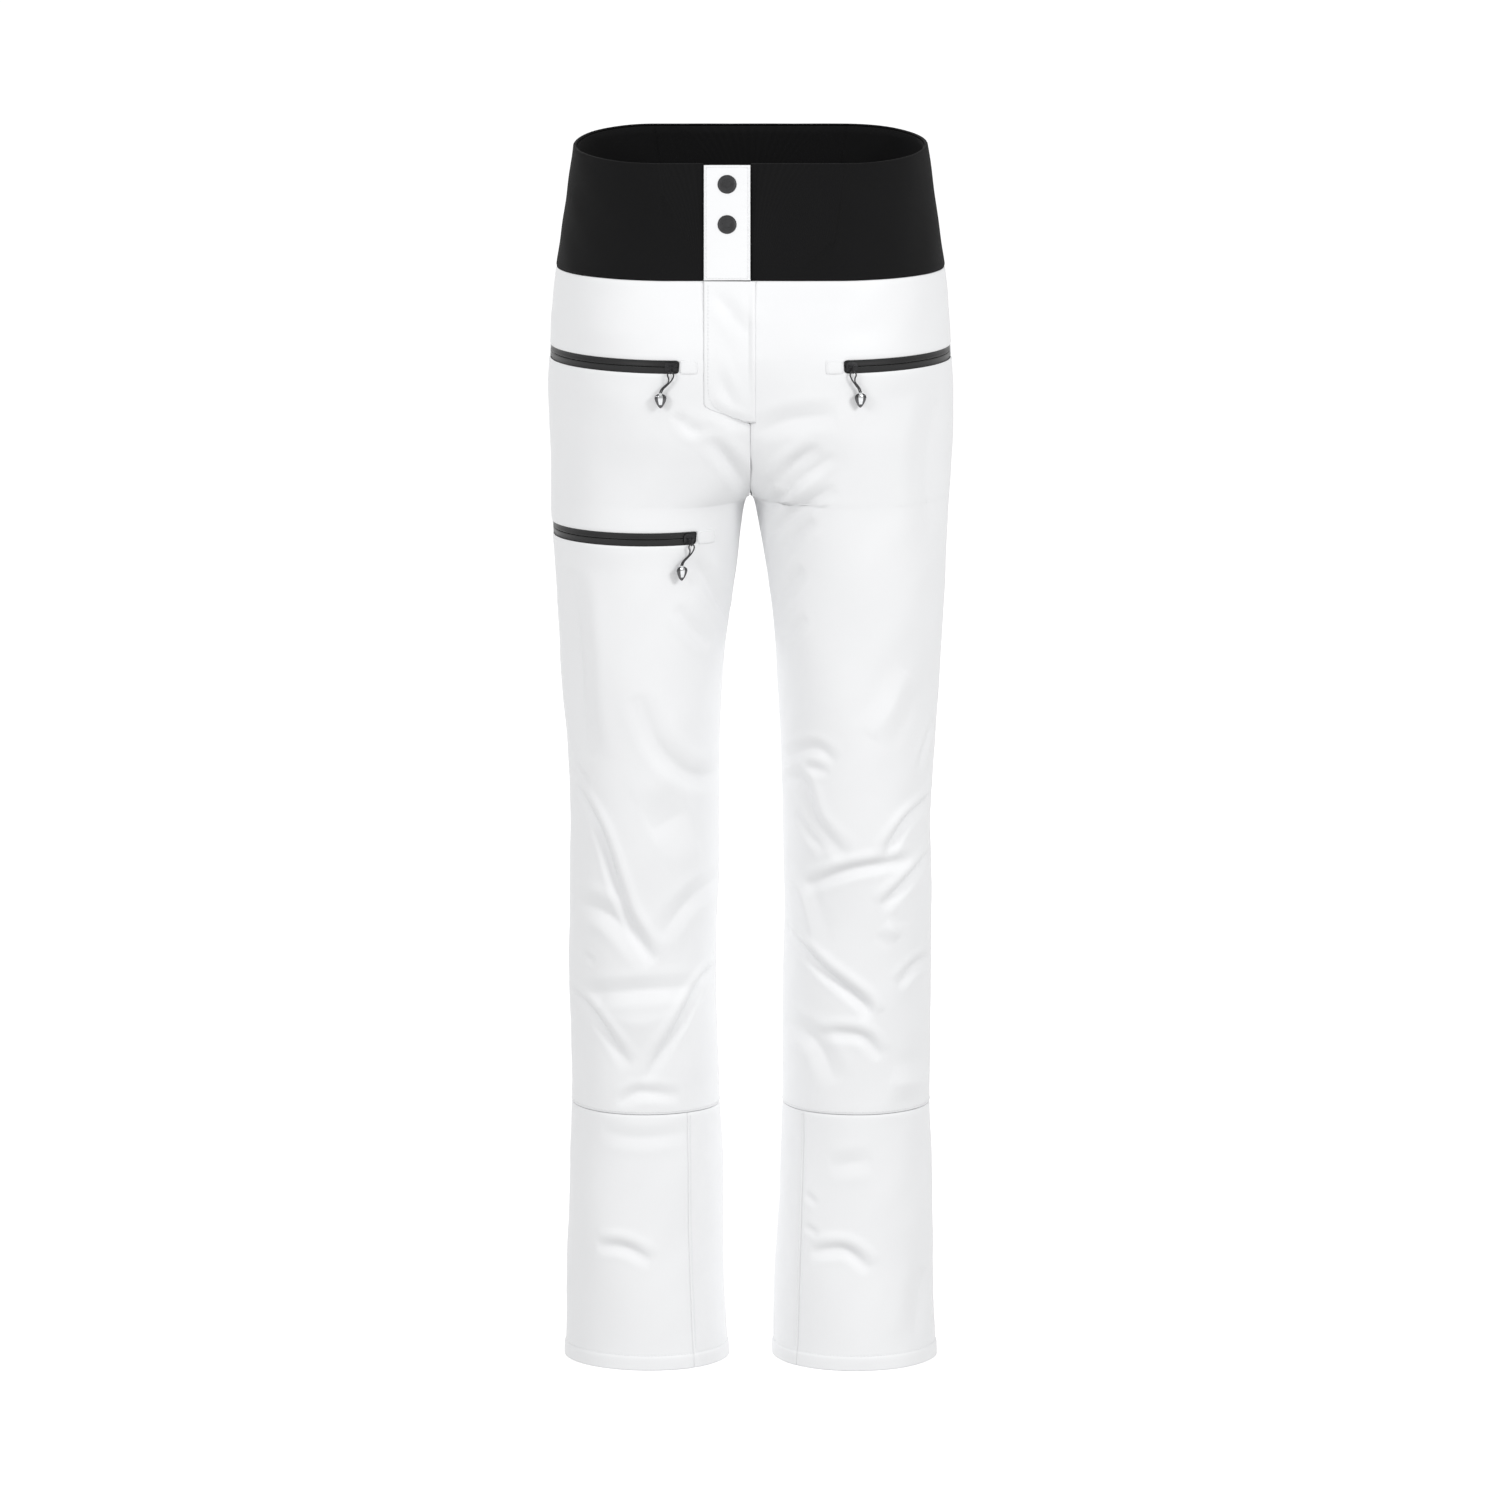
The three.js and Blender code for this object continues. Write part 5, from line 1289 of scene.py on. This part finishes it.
def ribbed_elastic(paint):
    rib = ribs(paint, 130, "X")
    cords_across = ribs(paint, 260, "Y")
    return {
        "Base Color": tint(paint, rib, (0.58, 0.59, 0.60), (0.72, 0.73, 0.74)),
        "Roughness": rib * 0.1 + 0.6,
        "height": rib + cords_across * 0.6,
        "depth": 0.0003,
    }


elastic_white = finish("white_woven_elastic", ribbed_elastic, Sheen_Weight=0.1)
ELASTIC_DEPTH, ELASTIC_PLY = 0.0020, 0.0008
elastic_rows = np.linspace(0.12, 0.88, 12)
band_piece("band_elastic", around_back, ELASTIC_DEPTH, elastic_rows, ELASTIC_PLY, False, "waist_elastic",
           look=elastic_white, slot="lining")

# ---------------------------------------------------------------- Closure
# The band fastens at the front with a white tab that laps over a black underlap and holds by two press
# studs. Each stud has a dark domed cap and a socket on the tab, and a stud riveted to the underlap.

TAB_PROUD, TAB_INSIDE, TAB_PLY = 0.0008, 0.0008, 0.0013
TAB_STITCH, TAB_STITCH_END = 0.0022, 0.002  # the stitches' distance from the edges, and from the corners
SNAP_LEVELS = {"upper": 1.091, "lower": 1.056}
SNAP_R, SNAP_HEIGHT, SNAP_POST_R = 0.0085, 0.0022, 0.0014
tab_foot = skin(-1, front_angle(np.array([BAND_FOOT]), 0.021), np.array([BAND_FOOT]))[0]
tab_head = skin(-1, front_angle(np.array([1.1]), 0.021), np.array([1.1]))[0]
lean_back = math.atan2(tab_head[1] - tab_foot[1], tab_head[2] - tab_foot[2])
closure = Matrix.Translation((-TAB_WIDTH / 2, tab_foot[1], tab_foot[2])) @ Matrix.Rotation(-lean_back, 4, "X")
tab_length = (RIM - RIM_TILT * station_sizes["front"][-1] - BAND_FOOT - 0.0008) / math.cos(lean_back)


def in_closure(flat):
    """Places given in the closure's own frame, whose -Y is off its face."""
    return flat @ np.array(closure.to_3x3()).T + np.array(closure.translation)


def edge_drop(x, z, width, drop):
    """How far a leaf's face falls away over a width at its edges, where the cloth is turned in."""
    to_edge = np.minimum(np.minimum(x - x.min(), x.max() - x), np.minimum(z - z.min(), z.max() - z))
    return drop * (1 - np.sqrt(np.clip(1 - (1 - np.clip(to_edge / width, 0, 1)) ** 2, 0, 1)))


def on_tab(x, z, out=0.0):
    """A place on the tab's face, which is softly crowned between its sewn edges."""
    crown = 0.0007 * np.sqrt(np.clip(1 - (x / (TAB_WIDTH / 2)) ** 2, 0, 1))
    pucker = 0.00018 * np.sin(z * 900 + 3 * np.sin(x * 120)) * smooth(0.012, 0.020, abs(x))
    return in_closure(np.stack(np.broadcast_arrays(x, -TAB_PROUD - crown - pucker - out, z), axis=-1))


half_width = TAB_WIDTH / 2 - SEAM_GAP / 2
across_tab = spread(-half_width, half_width, 0.0012, (0.0002, 0.0006))
up_tab = spread(0.0003, tab_length, 0.0015, (0.0002, 0.0006))
x, z = across_tab[None, :] + 0 * up_tab[:, None], up_tab[:, None] + 0 * across_tab[None, :]
tab_grid = on_tab(x, z, -edge_drop(x, z, 0.0008, 0.0007))
tab_out = np.array(closure.to_3x3() @ Vector((0, -1, 0)))
tab = sheet_mesh("tab_cloth", tab_grid, np.broadcast_to(tab_out, tab_grid.shape), TAB_PLY, x, z)
place(tab, "tab", "shell_fabric", shell_finish, "closure_tab")
upright = np.linspace(TAB_STITCH, tab_length - TAB_STITCH_END, 40)
level = np.linspace(-half_width + TAB_STITCH_END, half_width - TAB_STITCH_END, 30)
for edge, line in (
    ("right", on_tab(-(half_width - TAB_STITCH) + 0 * upright, upright)),
    ("left", on_tab(half_width - TAB_STITCH + 0 * upright, upright)),
    ("foot", on_tab(level, TAB_STITCH + 0 * level)),
    ("head", on_tab(level, tab_length - TAB_STITCH_END + 0 * level)),
):
    way = np.broadcast_to(tab_out, line.shape)
    stitch_row(f"tab_{edge}_stitches", line, way, "tab", "shell_fabric", pitch=0.0026)


def turned(profile, segments):
    """A piece turned about Y from (radius, y) corners."""
    vertices, faces, rings = [], [], []
    for radius, y in profile:
        if radius == 0:
            rings.append([len(vertices)] * segments)
            vertices.append((0, y, 0))
            continue
        rings.append(list(range(len(vertices), len(vertices) + segments)))
        turns = np.linspace(0, 2 * math.pi, segments, endpoint=False)
        vertices += [(radius * math.cos(a), y, radius * math.sin(a)) for a in turns]
    for low, high in zip(rings[:-1], rings[1:]):
        for k in range(segments):
            corners = [low[k], low[(k + 1) % segments], high[(k + 1) % segments], high[k]]
            faces.append(tuple(dict.fromkeys(corners)))
    return vertices, faces


def dome(paint):
    """Matt black enamel on pressed brass, with a fine grain and a little rubbing."""
    grain = mottle(paint, 1100, 3.0)
    rubbed = mottle(paint, 260, 4.0)
    return {
        "Base Color": tint(paint, rubbed, (0.020, 0.020, 0.021), (0.040, 0.040, 0.042)),
        "Roughness": rubbed * 0.15 + 0.34,
        "height": grain,
        "depth": 0.00004,
    }


enamel = finish("black_enamel", dome, Metallic=0.4)
SOCKET_TOP = TAB_INSIDE + SEAM_GAP
for level_name, level in SNAP_LEVELS.items():
    up = Matrix.Translation((0, 0, (level - BAND_FOOT) / math.cos(lean_back)))
    foot, top = -TAB_PROUD - 0.0006, -TAB_PROUD - SEAM_GAP - SNAP_HEIGHT
    r = SNAP_R
    cap = [
        (0, top + 0.00025),
        (0.20 * r, top + 0.0002),
        (0.38 * r, top + 0.0002),
        (0.42 * r, top - 0.0001),
        (0.48 * r, top - 0.0001),
        (0.52 * r, top + 0.00025),
        (0.72 * r, top + 0.0004),
        (0.76 * r, top + 0.0003),
        (0.86 * r, top + 0.0005),
        (0.94 * r, top + 0.0009),
        (0.985 * r, top + 0.0014),
        (r, foot - 0.0003),
        (0.97 * r, foot),
        (SNAP_POST_R, foot),
        (SNAP_POST_R, SOCKET_TOP - SEAM_GAP),
        (0, SOCKET_TOP - SEAM_GAP),
    ]
    made = joined(f"snap_cap_dome_{level_name}", [turned(cap, 64)], closure @ up)
    place(made, "tab", "dark_metal", enamel, f"snap_cap_{level_name}")

# ---------------------------------------------------------------- Linings and gaiters
# Each leg is lined with smooth white taffeta, sewn in at the waist and the calf, with wadding between it
# and the shell. Below the calf a snow gaiter of the same cloth narrows to a black elastic that grips the
# boot.

LINING = 0.0010
LINING_DEPTH = 0.0156
LINING_TOP = WAIST_SEAM - SEAM_GAP
LINING_BEND = 0.985
GAITER_DEPTH = 0.016
GAITER_FOOT = 0.062
GAITER_ELASTIC = 0.026
LINING_AROUND = 0.17  # makes a coarser mesh than the shell's, for cloth that is hardly seen


def taffeta(paint):
    weft, warp = ribs(paint, 520, "X"), ribs(paint, 520, "Y")
    creased = mottle(paint, 26, 4.0)
    return {
        "Base Color": tint(paint, creased, (0.60, 0.61, 0.62), (0.70, 0.71, 0.72)),
        "Roughness": creased * 0.15 + 0.38,
        "height": weft * 0.3 + warp * 0.3 + creased * 3.0,
        "depth": 0.00012,
    }


lining_finish = finish("white_taffeta", taffeta, Specular_IOR_Level=0.5, Sheen_Weight=0.1)


def lining_fall(height):
    """The lining starts flush with the band's facing and falls back from the shell below it."""
    return mix(LINING_DEPTH, FACING_DEPTH, smooth(LINING_BEND, LINING_TOP, height))


def inner_edge(side):
    """A leg's inside seam; the two edges of the lining meet there with a small gap."""
    return lambda height: side * (inside_edge(height) + 0.004) + (2 * math.pi if side < 0 else 0)


lining_rows = spread(CUFF_SEAM + SEAM_GAP, LINING_TOP, 0.0075, SEAM_ROLL)
gaiter_rows = spread(GAITER_FOOT, CUFF_SEAM - SEAM_GAP, 0.005, SEAM_ROLL)
grip_rows = np.linspace(GAITER_FOOT - SEAM_GAP - GAITER_ELASTIC, GAITER_FOOT - SEAM_GAP, 22)


def gathered(paint):
    rib = ribs(paint, 210, "Y")
    crimp = ribs(paint, 90, "X")
    return {
        "Base Color": tint(paint, rib, (0.012, 0.012, 0.013), (0.030, 0.030, 0.032)),
        "Roughness": rib * 0.1 + 0.7,
        "height": rib + crimp * 0.5,
        "depth": 0.0004,
    }


grip_finish = finish("black_ribbed_elastic", gathered, Sheen_Weight=0.1)
GRIP_PLY, GRIP_WAVES, GRIP_WAVE = 0.0013, 60, 0.0003
edges = inner_edge(1), inner_edge(-1)
sewn_in = {"thickness": LINING, "share": 0.25, "around": LINING_AROUND}
for half, leg in halves.items():
    fall = lining_fall(lining_rows[:, None])
    lining = panel(f"lining_cloth_{half}", leg, lining_rows, *edges, depth=fall, **sewn_in)
    place(lining, "root", "lining", lining_finish, f"lining_{half}")
    fall = mix(GAITER_DEPTH, LINING_DEPTH, smooth(GAITER_FOOT, CUFF_SEAM, gaiter_rows))[:, None]
    gaiter = panel(f"gaiter_cloth_{half}", leg, gaiter_rows, *edges, depth=fall, **sewn_in)
    place(gaiter, "root", "lining", lining_finish, f"snow_gaiter_{half}")
    crimp = GAITER_DEPTH + GRIP_WAVE * np.sin(np.linspace(0, 2 * math.pi * GRIP_WAVES, 241))
    turns = np.linspace(0.004, 2 * math.pi - 0.004, 241)
    grip_height = grip_rows[:, None] + 0 * turns
    base, way = skin(leg, turns, grip_height), outward(leg, turns, grip_height)
    girth = turns * 0.067 + 0 * grip_height
    grip = sheet_mesh(f"gaiter_grip_{half}", base - way * crimp[:, None], way, GRIP_PLY, girth, grip_height)
    place(grip, "root", "elastic", grip_finish, f"gaiter_elastic_{half}")

# ---------------------------------------------------------------- Pocket bags
# A flat bag of the lining's taffeta hangs inside the shell from each pocket zip, sewn to the shell above
# it, with its lower corners rounded off.

BAG_DEPTH = COIL_BACK + SLIDER_PLAY + SLIDER_PLATE + SEAM_GAP
BAGS = {"right_hand": (0.806, 0.957), "left_hand": (0.806, 0.957), "thigh": (0.630, 0.797)}
BAG_BEND, BAG_PLY, BAG_CORNER = 0.014, 0.0014, 0.022
for zip_name, fact in ZIPS.items():
    foot, top = BAGS[zip_name]
    share = np.sin(np.linspace(-1, 1, 41) * math.pi / 2)
    turns = np.radians(mix(90 + fact["inner"], 90 + fact["outer"], 0.5 + 0.47 * share))
    corner = BAG_CORNER * (1 - np.sqrt(np.clip(1 - (np.clip(abs(share) - 0.7, 0, 1) / 0.3) ** 2, 0, 1)))
    up = spread(0, 1, 0.04, (0.006, 0.016))[:, None]
    height = foot + corner + up * (top - foot - corner)
    base, way = skin(fact["leg"], turns, height), outward(fact["leg"], turns, height)
    fall = mix(BAG_DEPTH, TAPE_DEPTH, smooth(fact["height"] + BAG_BEND, top, height))
    hollow = 0.5 * np.minimum(lift(fact["leg"], base, way), 0)
    bag_grid = base + way * (hollow - fall)[..., None]
    bag = sheet_mesh(f"{zip_name}_bag", bag_grid, way, BAG_PLY, along_rows(base), height)
    place(bag, "root", "lining", lining_finish, f"{zip_name}_pocket_bag")

# ---------------------------------------------------------------- Fly zip
# Behind the flap a coil zip on black woven tape follows the belly on a true arc. Its tapes are sewn forward
# to the shell on either side, and a shield of shell cloth lies behind it.

FLY_X = -TAB_WIDTH / 2
FLY_TOP = 0.982
FLY_TAPE_FOOT = FLY_FOOT + 0.012
FLY_DROP = 0.009 - TAPE_DEPTH
FLY_SEWN = FLY_DROP - 0.001
FLY_REACH = {"right": (-1, 0.014), "left": (1, 0.025)}
COIL_TURNS = 70
COIL_SIDE, COIL_ACROSS, COIL_OUT, COIL_WIRE = 0.0015, 0.0005, 0.00055, 0.00022
SHIELD_PLY = 0.0010


def arc_through(a, b, c):
    """Centre and radius of the circle through three points."""
    turn = np.linalg.solve(2 * np.array([b - a, c - a]), [b @ b - a @ a, c @ c - a @ a])
    return turn, np.linalg.norm(a - turn)


knots = np.array([FLY_TAPE_FOOT, (FLY_FOOT + FLY_TOP) / 2, FLY_TOP])
knot_y = skin(-1, front_angle(knots, -FLY_X), knots)[:, 1]
fly_centre, fly_skin_r = arc_through(*np.stack([knot_y, knots], axis=1))
fly_r = fly_skin_r - FLY_DROP


def fly_turn(height):
    return math.asin((height - fly_centre[1]) / fly_r)


def under_fly(x, turn, depth):
    """A place behind the fly at a depth under its arc, with the way off the cloth."""
    way = np.stack(np.broadcast_arrays(0 * x, -np.cos(turn), np.sin(turn)), axis=-1)
    at = np.stack(np.broadcast_arrays(x, 0 * turn + fly_centre[0], 0 * turn + HEM_Z + fly_centre[1]), axis=-1)
    return at + way * (fly_r - depth)[..., None], way


def twill(paint):
    weave = ribs(paint, 380, "DIAGONAL")
    fibre = mottle(paint, 900, 3.0)
    return {
        "Base Color": tint(paint, fibre, (0.012, 0.012, 0.013), (0.028, 0.028, 0.030)),
        "Roughness": fibre * 0.1 + 0.72,
        "height": weave + fibre * 0.5,
        "depth": 0.0001,
    }


twill_finish = finish("black_woven_tape", twill, Sheen_Weight=0.1)
tape_turns = np.linspace(fly_turn(FLY_TAPE_FOOT), fly_turn(FLY_TOP), 40)
for half, (side, reach) in FLY_REACH.items():
    out = np.append(np.linspace(0.0009, 0.006, 9), np.linspace(0.006, reach, 16)[1:])
    face = TAPE_DEPTH - FLY_SEWN * smooth(0.006, reach - 0.003, out)
    tape_grid, tape_way = under_fly(FLY_X + side * out, tape_turns[:, None], face + 0 * tape_turns[:, None])
    up = tape_turns[:, None] * fly_r + 0 * out
    tape = sheet_mesh(f"fly_tape_{half}", tape_grid, tape_way, TAPE_PLY, out + 0 * up, up)
    place(tape, "root", "fly_tape", twill_finish, f"fly_zip_tape_{half}")
    coil_turns = np.linspace(tape_turns[0], tape_turns[-1], COIL_TURNS * 8)
    swing = np.linspace(0, 2 * math.pi * COIL_TURNS, len(coil_turns))
    coil_x = FLY_X + side * (COIL_SIDE + COIL_ACROSS * np.cos(swing))
    coil_path, _ = under_fly(coil_x, coil_turns, TAPE_DEPTH + COIL_THICKNESS + COIL_OUT * np.sin(swing))
    coil = joined(f"fly_coil_{half}", [tube(coil_path, COIL_WIRE, 5)])
    place(coil, "root", "fly_tape", twill_finish)

shield_turns = np.linspace(fly_turn(FLY_FOOT + 0.004), fly_turn(FLY_TOP), 36)
tape_end = FLY_X + FLY_REACH["left"][1]
shield_x = spread(-TAB_WIDTH, 0.008, 0.0022, (0.0006,))
PLY_GAP = 0.0008
forward = FLY_SEWN + BAG_DEPTH - TAPE_DEPTH - TAPE_THICKNESS - PLY_GAP
shield_face = BAG_DEPTH - forward * smooth(tape_end - 0.012, tape_end, shield_x)
shield_grid, shield_way = under_fly(shield_x, shield_turns[:, None], shield_face + 0 * shield_turns[:, None])
up = shield_turns[:, None] * fly_r + 0 * shield_x
shield = sheet_mesh("fly_shield_cloth", shield_grid, shield_way, SHIELD_PLY, shield_x + 0 * up, up)
place(shield, "root", "shell_fabric", shell_finish, "fly_shield")

rest_turn = fly_turn(FLY_TOP - SLIDER_LENGTH / 2 - 0.001)
fly_middle = Matrix.Translation((FLY_X, fly_centre[0], HEM_Z + fly_centre[1]))
fly_frame = fly_middle @ Matrix.Rotation(-rest_turn, 4, "X")
fly_frame = fly_frame @ Matrix.Translation((0, TAPE_DEPTH - fly_r, 0)) @ Matrix.Rotation(math.pi / 2, 4, "Y")
fly_slider = joined("fly_slider_casting", slider_parts(), fly_frame)
place(fly_slider, "fly_slider", "dark_metal", gunmetal, "fly_zip_slider")

# ---------------------------------------------------------------- Underlap and press studs
# Behind the tab the left front runs on as a doubled leaf of the band's knit. The sockets under the tab, the
# studs on the leaf and the fly's flat pull tab are lacquered metal.

LEAF_DEPTH, LEAF_GAP, LEAF_PLY = 0.0052, 0.00005, 0.0010
leaf_x = spread(-half_width - 0.003, half_width + 0.025, 0.003, (0.0004, 0.0011))
leaf_z = spread(0.0025, tab_length - 0.0012, 0.003, (0.0004, 0.0011))
x, z = leaf_x[None, :] + 0 * leaf_z[:, None], leaf_z[:, None] + 0 * leaf_x[None, :]
leaf_face = LEAF_DEPTH + LEAF_GAP + edge_drop(x, z, 0.001, 0.0005)
leaf_grid = in_closure(np.stack([x, leaf_face, z], axis=-1))
leaf = sheet_mesh("underlap_leaf", leaf_grid, np.broadcast_to(tab_out, leaf_grid.shape), LEAF_PLY, x, z)
place(leaf, "root", "waistband_knit", knit_finish, "waist_underlap")

for node in ("snap_socket_upper", "snap_socket_lower", "snap_stud_upper", "snap_stud_lower", "fly_zip_pull"):
    kept = frame["nodes"][node]
    kept.data.materials.clear()
    kept.data.materials.append(gunmetal)
